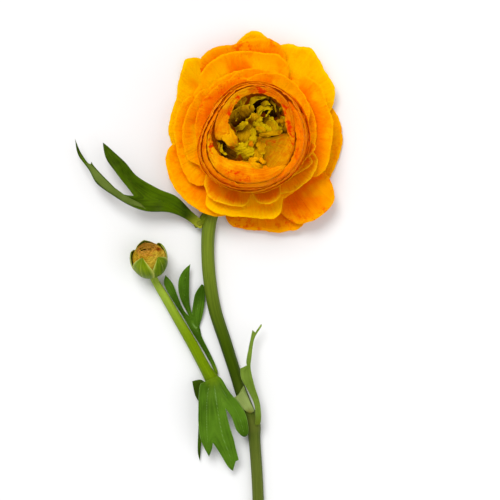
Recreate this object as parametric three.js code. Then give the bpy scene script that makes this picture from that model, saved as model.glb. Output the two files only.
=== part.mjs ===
// A cut ranunculus flower that lies on its back on a level surface: one open bloom that faces up,
// one bud on a side shoot, and the leaves along the stem. Millimetres, +Z up.
// The stem runs along Y, the bloom is at the +Y end, and the origin is under the middle of the flower.
import * as THREE from "three";
import { mergeVertices } from "three/addons/utils/BufferGeometryUtils.js";

// Driving dimensions in millimetres.
const PETAL_THICKNESS = 0.5;
const LEAF_THICKNESS = 0.6;
const SEPAL_THICKNESS = 0.5;
const BLOOM_AXIS = new THREE.Vector2(17.6, 65.0);
const CLAW_SHARE = 0.62; // width of a petal's foot as a share of the width at its rim, in angle
const BUD_CENTRE = new THREE.Vector3(-23.7, 14.4, 8.2);
const BUD_AXIS = new THREE.Vector3(-0.1, 0.64, 0.76).normalize();
const BUD_RADIUS = 7.0;
const BUD_SEPAL_GAP = 0.5;
const STEM_SIDES = 12;

// Centre lines of the stems as x, y, z and the radius there.
const MAIN_STEM_PATH = [
  [20.4, -105.8, 2.3, 2.3],
  [19.9, -89.0, 2.3, 2.3],
  [19.3, -73.3, 2.3, 2.3],
  [18.2, -57.5, 2.4, 2.4],
  [17.6, -51.6, 3.0, 3.0],
  [15.0, -44.2, 2.5, 2.5],
  [12.5, -37.6, 2.35, 2.35],
  [10.6, -31.2, 2.35, 2.35],
  [6.5, -18.4, 2.5, 2.5],
  [2.4, -5.7, 2.6, 2.6],
  [0.2, 7.1, 2.65, 2.65],
  [-0.5, 18.2, 2.65, 2.65],
  [-0.1, 26.6, 2.75, 2.75],
  [1.4, 33.0, 2.7, 2.7],
  [5.2, 42.2, 2.6, 2.6],
  [9.8, 51.6, 2.75, 2.5],
  [13.6, 58.4, 3.3, 2.5],
  [16.1, 62.6, 5.2, 2.6],
  [17.4, 64.8, 8.0, 2.8],
  [17.6, 65.0, 10.3, 3.2],
];
const SIDE_SHOOT_PATH = [
  [10.5, -44.2, 3.0, 1.7],
  [6.6, -39.4, 3.0, 2.0],
  [2.2, -34.6, 3.0, 2.9],
  [-1.3, -29.2, 2.9, 2.3],
  [-6.6, -19.4, 2.8, 2.1],
  [-12.2, -9.8, 2.6, 1.9],
  [-17.6, -0.6, 2.2, 1.7],
  [-21.1, 5.1, 1.8, 1.5],
  [-22.7, 8.5, 1.7, 1.5],
];

// Layers of the bloom from the outside in. A layer is the outline of a bowl round the bloom's axis:
// r and z from the petals' foot to the rim, and the middle of the bowl beside the axis.
const LAYERS = [
  {
    layer: -1,
    middle: [0, 0],
    outline: [
      [5.3, 10.2], [9.0, 8.2], [12.5, 6.0], [16.0, 3.6], [19.5, 1.8], [23, 0.9], [26.5, 0.5],
      [30, 0.4],
    ],
  },
  {
    layer: 0,
    middle: [0, 0],
    outline: [
      [5.2, 11.0], [10.4, 8.3], [15.6, 5.0], [20.8, 2.2], [26, 0.6], [31.2, 0.5], [36.4, 1.8],
      [43.6, 5.4],
    ],
  },
  {
    layer: 3,
    middle: [0, 0],
    outline: [
      [4.6, 13.4], [9.6, 11.6], [14.6, 9.6], [19.6, 8.0], [24.6, 8.0], [29.6, 9.6], [34.6, 12.4],
      [41.6, 17],
    ],
  },
  {
    layer: 6,
    middle: [-0.5, -0.8],
    outline: [
      [4.0, 15.8], [8.5, 14.8], [13, 13.9], [17.3, 13.9], [21, 15.4], [24, 18.2], [26.5, 22],
      [29, 27],
    ],
  },
  {
    layer: 7,
    middle: [-1.2, -1.9],
    outline: [
      [3.6, 17.2], [8.6, 16.3], [13.6, 16.6], [17.8, 18.9], [20.6, 22.8], [21.7, 27.4],
      [20.9, 32.2], [17.8, 36.0],
    ],
  },
  {
    layer: 8,
    middle: [-1.2, -1.9],
    outline: [
      [3.2, 18.6], [8.2, 17.9], [12.9, 18.5], [16.7, 20.9], [19.2, 24.5], [20.0, 28.6],
      [19.0, 32.6], [15.8, 35.4],
    ],
  },
  {
    layer: 9,
    middle: [-1.2, -1.9],
    outline: [
      [2.8, 20.0], [7.8, 19.5], [12.2, 20.4], [15.6, 22.9], [17.8, 26.2], [18.4, 29.6],
      [17.2, 32.6], [14.0, 34.6],
    ],
  },
];

// Petals whose rims differ one by one: the layer, and the rim as angle in degrees and radius.
const GUARD_PETALS = [
  {
    layer: 0,
    rim: [
      [70, 31], [76, 36], [81, 38.4], [85, 40.1], [89, 40.8], [93, 40.1], [98, 37.8], [103, 35],
      [110, 30],
    ],
  },
  {
    layer: 2,
    rim: [
      [64, 30], [69, 35], [74, 37], [81, 37.9], [88, 37.4], [95, 36.9], [102, 35.8], [109, 36.5],
      [116, 37.2], [125, 36.3], [130, 33], [136, 27],
    ],
  },
  {
    layer: 1,
    rim: [
      [10, 26], [14, 31], [18, 33.2], [22, 35.2], [29, 37.3], [41, 37.8], [52, 40.2], [55, 40.9],
      [62, 38.8], [68, 38.4], [74, 36], [80, 30],
    ],
  },
  {
    layer: 0,
    rim: [
      [-46, 28], [-40, 33], [-33, 35.8], [-25, 35.6], [-15, 35.7], [-5, 36], [5, 35.3],
      [12, 34.5], [18, 33.3], [24, 31], [30, 26],
    ],
  },
  {
    layer: 1,
    rim: [
      [-76, 28], [-70, 35], [-65, 40.2], [-60, 41.9], [-54, 43.1], [-48, 43.4], [-40, 42.3],
      [-36, 39.7], [-31, 36], [-26, 29],
    ],
  },
  {
    layer: 0,
    rim: [
      [249, 29], [250.5, 34], [253, 36.6], [257, 38.1], [266, 38.6], [276, 39.4], [284, 41.3],
      [289, 41.5], [294, 42.8], [300, 41.5], [306, 37], [311, 30],
    ],
  },
  {
    layer: 2.3,
    rim: [
      [183, 26], [187, 31], [191, 34.7], [198, 36.5], [208, 37.9], [220, 38.4], [228, 38.3],
      [236, 37.8], [247, 36.7], [253, 34.5], [259, 29],
    ],
  },
  {
    layer: 0,
    rim: [
      [118, 28], [124, 35.8], [128, 38.2], [133, 40.3], [137, 38.6], [144, 36.5], [156, 33.5],
      [169, 33.6], [179, 34.1], [188, 32.7], [194, 30], [200, 26],
    ],
  },
];
const OUTER_PETALS = [
  {
    layer: 3.3,
    rim: [
      [56, 25], [62, 30.5], [72, 32.5], [84, 31.5], [96, 32.5], [110, 33], [122, 32.5],
      [134, 30.5], [142, 25],
    ],
  },
  {
    layer: 3.3,
    rim: [
      [-42, 24], [-36, 30.5], [-26, 32.5], [-10, 31.5], [6, 32], [20, 31.5], [34, 32.5],
      [46, 31], [54, 25],
    ],
  },
  {
    layer: 3.3,
    rim: [
      [233, 30], [237, 35], [244, 35.4], [252, 34.6], [262, 33.8], [272, 33.9], [283, 35.6],
      [289, 34.2], [295, 28],
    ],
  },
  {
    layer: 3.3,
    rim: [
      [144, 24], [150, 29.5], [162, 31], [176, 31.5], [190, 31], [204, 31.5], [218, 32],
      [226, 30], [231, 25],
    ],
  },
];
const MIDDLE_PETALS = [
  {
    layer: 4.3,
    rim: [
      [131, 19], [133, 23.5], [137, 26], [143, 26.9], [155, 26.8], [168, 27.6], [187, 28.1],
      [203, 27.6], [214, 24],
    ],
  },
  {
    layer: 4.3,
    rim: [
      [58, 22], [66, 24.6], [76, 25.4], [86, 25.7], [97, 25.4], [108, 24.3], [116, 22.5],
      [124, 20],
    ],
  },
  {
    layer: 5.3,
    rim: [
      [6, 22], [14, 23.4], [24, 24.8], [35, 25.6], [47, 25.8], [60, 26.2], [72, 25.3],
      [84, 23.9], [96, 21.2],
    ],
  },
  {
    layer: 6.15,
    rim: [
      [272, 22.3], [284, 21.3], [296, 21.2], [308, 21.4], [320, 21.9], [332, 23.2], [342, 25],
      [350, 26.2], [353, 24],
    ],
  },
  {
    layer: 5.3,
    rim: [
      [301, 21.8], [308, 22.4], [316, 23.5], [324, 25], [331, 26.5], [335, 26.8], [340, 24],
    ],
  },
  {
    layer: 4.3,
    rim: [
      [281, 22], [285, 24.4], [290, 25.8], [298, 27.2], [308, 28.7], [320, 29.3], [330, 29.4],
      [338, 28], [345, 24],
    ],
  },
  {
    layer: 4.3,
    rim: [
      [221, 24], [227, 28.4], [234, 30.3], [241, 30.9], [250, 30.5], [258, 30], [264, 29.2],
      [268, 26.8], [270, 22.8],
    ],
  },
  {
    layer: 5.3,
    rim: [
      [270, 23.2], [272, 26], [276, 27.8], [282, 28.6], [289, 28.7], [295, 27], [299, 23],
    ],
  },
];

// Petals of the closed cup: the layer, the middle angle, half the width in degrees, and how far
// along the outline the rim lies. The tilt lays one side of each petal outside its neighbour.
const CUP_ROWS = 7;
const CUP_SHARED = 0.79; // up to here the rows of all cup petals lie level, and the last row differs
const CUP_PETALS = [
  { layer: 7, middle: 215, half: 74, rim: 0.88 },
  { layer: 7, middle: 335, half: 72, rim: 0.86 },
  { layer: 7, middle: 95, half: 72, rim: 0.85 },
  { layer: 8, middle: 255, half: 72, rim: 0.88 },
  { layer: 8, middle: 15, half: 72, rim: 0.88 },
  { layer: 8, middle: 135, half: 72, rim: 0.87 },
  { layer: 9.3, middle: 210, half: 56, rim: 0.97 },
  { layer: 9.3, middle: 300, half: 56, rim: 0.98 },
  { layer: 9.3, middle: 30, half: 56, rim: 0.98 },
  { layer: 9.3, middle: 120, half: 56, rim: 0.97 },
];

// Small curled petals in the mouth of the cup: foot, middle and tip beside the bloom's axis,
// then the width, and how much the blade is rolled about its length.
const EYE_PETALS = [
  {
    spine: [
      [5.1, 0.0, 22.4], [9.4, -4.6, 25.5], [8.2, -2.6, 30.2], [3.6, -1.4, 31.0],
    ],
    width: 10.5, roll: 2.2,
  },
  {
    spine: [
      [-2.6, -0.1, 22.4], [-9.6, -4.4, 25.4], [-9.4, -3.4, 29.6], [-6.0, -4.6, 30.6],
    ],
    width: 7.5, roll: 1.6,
  },
  {
    spine: [
      [-2.7, 4.2, 22.4], [-9.0, 3.2, 25.0], [-8.6, 2.8, 28.6], [-5.0, 1.8, 29.4],
    ],
    width: 6.0, roll: 1.8,
  },
  {
    spine: [
      [0.7, 6.2, 22.4], [-1.0, 9.8, 25.4], [-0.8, 9.0, 29.6], [0.2, 5.6, 30.4],
    ],
    width: 6.0, roll: 1.8,
  },
  {
    spine: [
      [4.8, 4.4, 22.4], [8.6, 5.8, 24.6], [8.6, 5.2, 27.6], [5.6, 3.6, 28.4],
    ],
    width: 5.0, roll: 1.6,
  },
  {
    spine: [
      [1.0, -2.4, 22.4], [-0.6, -9.6, 25.4], [-0.6, -9.2, 29.4], [-1.0, -6.8, 30.4],
    ],
    width: 8.0, roll: 1.8,
  },
];

// Leaves as outlines in x, y from the foot round the lobes, the foot itself, and the height z of the
// blade at distances from the foot.
const UPPER_LEAF = {
  foot: [-3.5, 28.5],
  heights: [[0, 3.2], [12, 7.0], [28, 10.0], [44, 8.6], [56, 6.0], [62, 3.4]],
  outline: [
    [-3.2, 30.0], [-6.8, 33.5], [-12.8, 39.4], [-20.1, 42.6], [-28.4, 47.5], [-33.4, 53.2],
    [-39.4, 58.7], [-42.2, 61.0], [-40.8, 54.6], [-36.6, 48.6], [-31.6, 42.2], [-29.8, 39.7],
    [-34.8, 40.8], [-40.3, 45.9], [-45.6, 51.5], [-46.6, 53.3], [-47.3, 52.2], [-49.3, 54.4],
    [-51.3, 57.6], [-53.4, 62.6], [-52.0, 56.0], [-47.6, 50.0], [-44.4, 44.5], [-38.0, 39.9],
    [-32.0, 36.2], [-24.7, 33.6], [-16.0, 33.2], [-9.5, 30.7], [-3.4, 26.8],
  ],
};
const SIDE_LEAF = {
  foot: [2.6, -31.0],
  heights: [[0, 1.4], [14, 1.0], [24, 1.2], [34, 2.4], [46, 3.6]],
  outline: [
    [3.6, -31.4], [2.8, -28.2], [0.6, -23.3], [-2.6, -17.0], [-3.5, -13.6], [-3.7, -12.0],
    [-2.4, -7.3], [-1.6, -1.4], [-1.9, 3.4], [-2.9, 4.6], [-5.5, 0.6], [-6.6, -5.0],
    [-6.8, -7.5], [-7.8, -2.0], [-7.8, 7.9], [-7.4, 12.6], [-10.5, 9.6], [-12.2, 5.3],
    [-11.5, -1.0], [-7.9, -8.3], [-10.3, -5.4], [-12.8, 0.6], [-14.5, 4.9], [-17.3, 8.2],
    [-17.9, 4.5], [-14.6, -1.7], [-10.4, -8.3], [-6.8, -14.6], [-3.2, -20.3], [0.4, -26.6],
    [2.2, -30.2],
  ],
};
const HANGING_LEAF = {
  foot: [1.5, -33.0],
  heights: [[0, 6.8], [8, 8.4], [18, 8.8], [28, 6.6], [38, 3.6]],
  outline: [
    [-2.0, -34.4], [-3.6, -35.8], [-4.1, -43.2], [-4.1, -51.2], [-2.9, -58.1], [0.1, -64.2],
    [1.3, -60.9], [1.6, -58.5], [4.6, -63.1], [7.7, -68.3], [9.6, -69.9], [10.7, -66.0],
    [11.9, -65.5], [10.9, -61.4], [9.9, -57.0], [8.2, -51.5], [6.7, -44.9], [9.0, -48.2],
    [11.2, -53.7], [14.0, -56.2],
    [15.8, -54.2], [14.8, -47.6], [11.8, -42.4], [8.2, -38.3], [5.5, -33.6], [3.8, -32.2],
    [1.3, -32.9],
  ],
};
const THIN_LOBE = {
  foot: [0.6, -38.0],
  heights: [[0, 3.2], [10, 4.0], [20, 2.4], [29, 1.0]],
  outline: [
    [1.6, -38.2], [-0.6, -37.8], [-3.4, -43.0], [-4.0, -48.0], [-4.3, -54.8], [-4.5, -60.0],
    [-4.4, -63.1], [-3.6, -66.2], [-3.2, -60.9], [-2.7, -56.0], [-2.0, -48.0], [0.4, -42.0],
  ],
};
const FOLDED_LOBE = {
  foot: [-1.4, -35.4],
  heights: [[0, 3.2], [8, 3.0]],
  outline: [
    [-1.4, -34.8], [-3.0, -33.6], [-4.9, -33.7], [-6.7, -34.2], [-5.6, -39.4], [-4.2, -42.1],
    [-3.4, -38.0], [-2.2, -36.4], [-1.2, -36.0],
  ],
};
const NARROW_LEAF = {
  foot: [19.5, -51.2],
  heights: [[0, 6.3], [12, 7.4], [24, 7.8], [40, 5.2]],
  outline: [
    [20.4, -51.0], [20.8, -47.5], [20.2, -42.1], [18.2, -35.9], [16.7, -29.0], [17.0, -24.3],
    [18.2, -17.0], [21.1, -12.1], [20.7, -11.4], [18.5, -14.7], [17.4, -13.6], [16.2, -19.1],
    [15.0, -25.5], [15.1, -27.7], [12.5, -29.0], [12.9, -32.9], [15.3, -37.2], [18.0, -43.0],
    [18.6, -48.0], [18.4, -51.4],
  ],
};
const NODE_SHEATH = {
  foot: [16.2, -46.9],
  heights: [[0, 5.9], [12, 5.6]],
  outline: [
    [13.9, -35.9], [11.5, -39.6], [9.8, -40.5], [13.2, -44.8], [16.2, -46.9], [18.0, -45.9],
    [16.6, -42.7], [15.0, -39.0],
  ],
};

const COLOURS = {
  guard: 0xffa80a,
  outer: 0xffa200,
  middle: 0xff9600,
  cup: 0xf79a08,
  eye: 0xa0900c,
  receptacle: 0x6f7a1e,
  stem: 0x6b7d24,
  shoot: 0x748b0a,
  leaf: 0x4f7a1e,
  darkLeaf: 0x35560b,
  bract: 0x95a664,
  sepal: 0x5f7a1c,
  bud: 0xb98a22,
};

const flower = new THREE.Group();

function addPiece(name, geometry, colour, roughness, parent = flower) {
  const material = new THREE.MeshStandardMaterial({
    color: colour,
    roughness,
    metalness: 0,
    side: THREE.DoubleSide,
  });
  const mesh = new THREE.Mesh(geometry, material);
  mesh.name = name;
  parent.add(mesh);
  return mesh;
}

// Keeps positions only and joins the vertices that faces share.
function closedGeometry(geometry) {
  geometry.deleteAttribute("normal");
  geometry.deleteAttribute("uv");
  const merged = mergeVertices(geometry, 1e-4);
  merged.computeVertexNormals();
  return merged;
}

// A thin plate bent onto a surface: a box whose grid is carried to surface(u, v), with u from -1
// to 1 across, v from 0 to 1 along, and half the thickness on either side.
function bentPlate(surface, thickness, columns, rows) {
  const geometry = new THREE.BoxGeometry(2, 1, 2, columns, rows, 1);
  const position = geometry.getAttribute("position");
  const step = 1e-3;
  for (let i = 0; i < position.count; i += 1) {
    const u = position.getX(i);
    const v = position.getY(i) + 0.5;
    const side = position.getZ(i);
    const acrossFrom = surface(Math.max(u - step, -1), v);
    const across = surface(Math.min(u + step, 1), v).sub(acrossFrom);
    const alongFrom = surface(u, Math.max(v - step, 0));
    const along = surface(u, Math.min(v + step, 1)).sub(alongFrom);
    const normal = across.cross(along).normalize();
    const point = surface(u, v).addScaledVector(normal, (side * thickness) / 2);
    position.setXYZ(i, point.x, point.y, point.z);
  }
  return closedGeometry(geometry);
}

// A solid stalk whose radius changes along its path.
function taperedStalk(path) {
  const centre = new THREE.CatmullRomCurve3(path.map(([x, y, z]) => new THREE.Vector3(x, y, z)));
  const radius = new THREE.SplineCurve(path.map(([, , , r], i) => new THREE.Vector2(i, r)));
  const geometry = new THREE.CylinderGeometry(1, 1, 1, STEM_SIDES, path.length - 1);
  const position = geometry.getAttribute("position");
  const acrossX = new THREE.Vector3(1, 0, 0);
  for (let i = 0; i < position.count; i += 1) {
    const t = position.getY(i) + 0.5;
    const tangent = centre.getTangent(t);
    const up = acrossX.clone().cross(tangent).normalize();
    const side = tangent.clone().cross(up).normalize();
    const r = radius.getPoint(t).y;
    const point = centre
      .getPoint(t)
      .addScaledVector(side, position.getX(i) * r)
      .addScaledVector(up, position.getZ(i) * r);
    position.setXYZ(i, point.x, point.y, point.z);
  }
  return closedGeometry(geometry);
}

// Straight-line reading of a list of pairs, each an angle and a value.
function readPairs(pairs, at) {
  const next = pairs.findIndex(([key]) => key >= at);
  if (next === 0) return pairs[0][1];
  if (next < 0) return pairs[pairs.length - 1][1];
  const [keyA, valueA] = pairs[next - 1];
  const [keyB, valueB] = pairs[next];
  return valueA + ((valueB - valueA) * (at - keyA)) / (keyB - keyA);
}

for (const bowl of LAYERS) {
  bowl.curve = new THREE.SplineCurve(bowl.outline.map(([r, z]) => new THREE.Vector2(r, z)));
}

// Radius, height and middle of the bowl at any layer, between the listed ones.
function bowlAt(layer, t) {
  let upper = LAYERS.findIndex((bowl) => bowl.layer >= layer);
  if (upper < 0) upper = LAYERS.length - 1;
  if (upper === 0) upper = 1;
  const inner = LAYERS[upper];
  const outer = LAYERS[upper - 1];
  const share = (layer - outer.layer) / (inner.layer - outer.layer);
  const point = outer.curve.getPoint(t).lerp(inner.curve.getPoint(t), share);
  const lean = Math.min(1, 2 * t); // a bowl's foot stays on the axis
  const middleX = lean * THREE.MathUtils.lerp(outer.middle[0], inner.middle[0], share);
  const middleY = lean * THREE.MathUtils.lerp(outer.middle[1], inner.middle[1], share);
  return { radius: point.x, height: point.y, middleX, middleY };
}

function bloomPoint(layer, degrees, t) {
  const bowl = bowlAt(layer, t);
  const angle = THREE.MathUtils.degToRad(degrees);
  return new THREE.Vector3(
    BLOOM_AXIS.x + bowl.middleX + bowl.radius * Math.cos(angle),
    BLOOM_AXIS.y + bowl.middleY + bowl.radius * Math.sin(angle),
    bowl.height,
  );
}

// How far along a layer's outline a radius is reached.
function shareAtRadius(layer, radius) {
  let low = 0;
  let high = 1;
  for (let i = 0; i < 24; i += 1) {
    const half = (low + high) / 2;
    if (bowlAt(layer, half).radius < radius) low = half;
    else high = half;
  }
  return low;
}

function openPetal({ layer, rim }) {
  const first = rim[0][0];
  const last = rim[rim.length - 1][0];
  const middle = (first + last) / 2;
  const half = (last - first) / 2;
  const surface = (u, v) => {
    const end = shareAtRadius(layer, readPairs(rim, middle + u * half));
    const width = CLAW_SHARE + (1 - CLAW_SHARE) * v ** 0.7;
    return bloomPoint(layer, middle + u * half * width, end * v);
  };
  const columns = Math.max(6, Math.round(half / 4.5));
  return bentPlate(surface, PETAL_THICKNESS, columns, 6);
}

function cupPetal({ layer, middle, half, rim }) {
  const tilt = layer < 9 ? 0.5 / 120 : 1.1 / 90; // layers per degree
  const surface = (u, v) => {
    const end = rim * (1 - 0.03 * Math.abs(u) ** 3);
    const width = CLAW_SHARE + (1 - CLAW_SHARE) * v ** 0.7;
    const turn = u * half * width;
    const shared = CUP_SHARED * Math.min(1, (v * CUP_ROWS) / (CUP_ROWS - 1));
    const last = Math.max(0, v * CUP_ROWS - (CUP_ROWS - 1));
    return bloomPoint(layer + tilt * turn, middle + turn, shared + last * (end - CUP_SHARED));
  };
  return bentPlate(surface, PETAL_THICKNESS, 10, CUP_ROWS);
}

// A blade along a spine, widest in the middle and rolled about its length.
function curledPetal({ spine, width, roll }) {
  const curve = new THREE.CatmullRomCurve3(
    spine.map(([x, y, z]) => new THREE.Vector3(BLOOM_AXIS.x - 1.2 + x, BLOOM_AXIS.y - 1.9 + y, z)),
  );
  const outward = new THREE.Vector3(spine[1][0], spine[1][1], 0).normalize();
  const across = new THREE.Vector3(-outward.y, outward.x, 0);
  const surface = (u, v) => {
    const half = (width / 2) * (0.12 + 0.88 * Math.sin(Math.PI * (0.12 + 0.68 * v)));
    return curve
      .getPoint(v)
      .addScaledVector(across, u * half)
      .addScaledVector(outward, -roll * u * u * Math.sin(Math.PI * Math.min(1, 0.2 + 0.8 * v)));
  };
  return bentPlate(surface, PETAL_THICKNESS, 6, 6);
}

// A leaf: its outline as a thin plate, lifted to the height of the blade.
function leaf({ foot, heights, outline }) {
  const shape = new THREE.Shape(outline.map(([x, y]) => new THREE.Vector2(x, y)));
  const geometry = new THREE.ExtrudeGeometry(shape, {
    depth: LEAF_THICKNESS,
    steps: 1,
    bevelEnabled: false,
  });
  const position = geometry.getAttribute("position");
  for (let i = 0; i < position.count; i += 1) {
    const distance = Math.hypot(position.getX(i) - foot[0], position.getY(i) - foot[1]);
    const height = readPairs(heights, distance) - LEAF_THICKNESS / 2;
    position.setZ(i, position.getZ(i) + height);
  }
  return closedGeometry(geometry);
}

function addStems() {
  addPiece("main_stem", taperedStalk(MAIN_STEM_PATH), COLOURS.stem, 0.5);
  addPiece("side_shoot", taperedStalk(SIDE_SHOOT_PATH), COLOURS.shoot, 0.5);
  addPiece("node_sheath", leaf(NODE_SHEATH), COLOURS.bract, 0.6);
}

function addLeaves() {
  addPiece("upper_leaf", leaf(UPPER_LEAF), COLOURS.darkLeaf, 0.5);
  addPiece("side_leaf", leaf(SIDE_LEAF), COLOURS.leaf, 0.5);
  addPiece("hanging_leaf", leaf(HANGING_LEAF), COLOURS.leaf, 0.5);
  addPiece("hanging_leaf_lobe", leaf(THIN_LOBE), COLOURS.darkLeaf, 0.5);
  addPiece("folded_leaf_lobe", leaf(FOLDED_LOBE), COLOURS.darkLeaf, 0.5);
  addPiece("narrow_leaf", leaf(NARROW_LEAF), COLOURS.leaf, 0.5);
}

// The cone that carries the petals, a turned shape on top of the stem.
function addReceptacle() {
  const outline = [
    [0, 10.9], [3.5, 10.9], [4.3, 10.1], [4.7, 10.6], [4.6, 12.0], [3.9, 13.8], [3.3, 16.0],
    [2.7, 18.0], [2.1, 20.0], [2.0, 21.4], [3.2, 22.2], [3.4, 23.4], [2.4, 25.0], [0, 25.8],
  ];
  const points = outline.map(([r, z]) => new THREE.Vector2(r, z));
  const cone = new THREE.LatheGeometry(points, 16);
  cone.rotateX(Math.PI / 2);
  cone.translate(BLOOM_AXIS.x, BLOOM_AXIS.y, 0);
  addPiece("receptacle", closedGeometry(cone), COLOURS.receptacle, 0.7);
}

function addBloomSepals() {
  for (let i = 0; i < 5; i += 1) {
    const middle = 281 + 72 * i;
    const surface = (u, v) => {
      const half = 27 * (0.55 + 0.45 * Math.sin(Math.PI * v)) * (1 - 0.75 * v ** 4);
      return bloomPoint(-1, middle + u * half, 0.42 * v);
    };
    const plate = bentPlate(surface, SEPAL_THICKNESS, 4, 5);
    addPiece(`bloom_sepal_${i + 1}`, plate, COLOURS.sepal, 0.6);
  }
}

function addPetals() {
  GUARD_PETALS.forEach((petal, i) => {
    addPiece(`guard_petal_${i + 1}`, openPetal(petal), COLOURS.guard, 0.55);
  });
  OUTER_PETALS.forEach((petal, i) => {
    addPiece(`outer_petal_${i + 1}`, openPetal(petal), COLOURS.outer, 0.55);
  });
  MIDDLE_PETALS.forEach((petal, i) => {
    addPiece(`middle_petal_${i + 1}`, openPetal(petal), COLOURS.middle, 0.55);
  });
  CUP_PETALS.forEach((petal, i) => {
    addPiece(`cup_petal_${i + 1}`, cupPetal(petal), COLOURS.cup, 0.55);
  });
  EYE_PETALS.forEach((petal, i) => {
    addPiece(`eye_petal_${i + 1}`, curledPetal(petal), COLOURS.eye, 0.55);
  });
}

// The bud is built upright and then tipped onto its axis.
function addBud() {
  const bud = new THREE.Group();
  bud.position.copy(BUD_CENTRE);
  const upright = new THREE.Vector3(0, 0, 1);
  bud.quaternion.setFromUnitVectors(upright, BUD_AXIS);
  flower.add(bud);
  const outline = [
    [0, -1.08], [0.3, -1.06], [0.66, -0.78], [0.93, -0.36], [1.0, 0.06], [0.9, 0.5],
    [0.62, 0.84], [0.28, 1.0], [0, 1.03],
  ];
  const points = outline.map(([r, z]) => new THREE.Vector2(r * BUD_RADIUS, z * BUD_RADIUS));
  const ball = new THREE.LatheGeometry(points, 16);
  ball.rotateX(Math.PI / 2);
  addPiece("bud_heart", closedGeometry(ball), COLOURS.bud, 0.55, bud);
  const shell = BUD_RADIUS + BUD_SEPAL_GAP + SEPAL_THICKNESS / 2;
  for (let i = 0; i < 5; i += 1) {
    const middle = THREE.MathUtils.degToRad(234 + 72 * i);
    const surface = (u, v) => {
      const polar = THREE.MathUtils.degToRad(160 - 114 * v);
      const half = THREE.MathUtils.degToRad(34) * (1 - 0.9 * Math.max(0, v - 0.35) ** 1.4 * 1.8);
      const angle = middle + u * Math.max(half, 0.05);
      const flat = shell * Math.sin(polar);
      const height = shell * 1.02 * Math.cos(polar);
      return new THREE.Vector3(flat * Math.cos(angle), flat * Math.sin(angle), height);
    };
    const plate = bentPlate(surface, SEPAL_THICKNESS, 5, 7);
    addPiece(`bud_sepal_${i + 1}`, plate, COLOURS.sepal, 0.6, bud);
  }
}

addStems();
addLeaves();
addReceptacle();
addBloomSepals();
addPetals();
addBud();

export default flower;
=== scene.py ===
"""A cut ranunculus that lies on a pale surface: an open bloom, a bud on a side shoot, and leaves.

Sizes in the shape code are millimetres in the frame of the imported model, and metres in Blender.
"""

import math

import bpy
import numpy as np
from bpy.props import FloatProperty, FloatVectorProperty, PointerProperty
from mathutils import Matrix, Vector, geometry, noise


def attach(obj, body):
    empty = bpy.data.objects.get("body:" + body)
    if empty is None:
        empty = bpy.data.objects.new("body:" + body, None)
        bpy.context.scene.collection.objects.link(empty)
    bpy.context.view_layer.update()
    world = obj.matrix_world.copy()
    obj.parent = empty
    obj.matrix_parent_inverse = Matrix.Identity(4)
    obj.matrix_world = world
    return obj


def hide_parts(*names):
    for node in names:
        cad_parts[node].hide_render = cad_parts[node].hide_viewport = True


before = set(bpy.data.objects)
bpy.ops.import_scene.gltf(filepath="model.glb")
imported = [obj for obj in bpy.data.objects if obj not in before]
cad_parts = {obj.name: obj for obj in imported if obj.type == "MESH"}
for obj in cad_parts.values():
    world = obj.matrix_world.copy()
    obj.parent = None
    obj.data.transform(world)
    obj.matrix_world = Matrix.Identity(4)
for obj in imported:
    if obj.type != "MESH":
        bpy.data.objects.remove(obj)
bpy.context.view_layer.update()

bl_info = {
    "name": "Ranunculus flower",
    "version": (1, 0, 0),
    "blender": (4, 5, 0),
    "location": "View3D > Sidebar > Ranunculus",
    "description": "Builds a cut ranunculus with a bloom, a bud and leaves around its packed frame",
    "category": "Add Mesh",
}

MM = 0.001
BODY = "root"
TINY = 1e-9  # keeps a division away from zero
INSIDE_ONLY = 1  # the kind of result asked of the triangle maker
SAME_POINT = 1e-5  # distance under which it takes two points as one

# The middle of the bloom, and the middle of its closed cup.
BLOOM_AXIS = np.array([17.6, 65.0])
CUP_MIDDLE = np.array([16.4, 63.1])
CLAW_SHARE = 0.62  # width of a petal's foot as a share of its widest, in angle

# Bowls that the petals lie on, from the outside in: the layer, the middle of the bowl beside the
# axis, and its outline as radius and height from the petals' foot to their rim.
LAYERS = [
    (-1, (0, 0), [(5.3, 10.2), (9, 8.2), (12.5, 6), (16, 3.6), (19.5, 1.8), (23, 0.9),
                  (26.5, 0.5), (30, 0.4)]),
    (0, (0, 0), [(5.2, 11), (10.4, 8.3), (15.6, 5), (20.8, 2.2), (26, 0.6), (31.2, 0.5),
                 (36.4, 1.8), (43.6, 5.4)]),
    (3, (0, 0), [(4.6, 13.4), (9.6, 11.6), (14.6, 9.6), (19.6, 8), (24.6, 8), (29.6, 9.6),
                 (34.6, 12.4), (41.6, 17)]),
    (6, (-0.5, -0.8), [(4, 15.8), (8.5, 14.8), (13, 13.9), (17.3, 13.9), (21, 15.4),
                       (24, 18.2), (26.5, 22), (29, 27)]),
    (7, (-1.2, -1.9), [(3.6, 17.2), (8.6, 16.3), (13.6, 16.6), (17.8, 18.9), (20.6, 22.8),
                       (21.7, 27.4), (20.9, 32.2), (17.8, 36)]),
]

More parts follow.
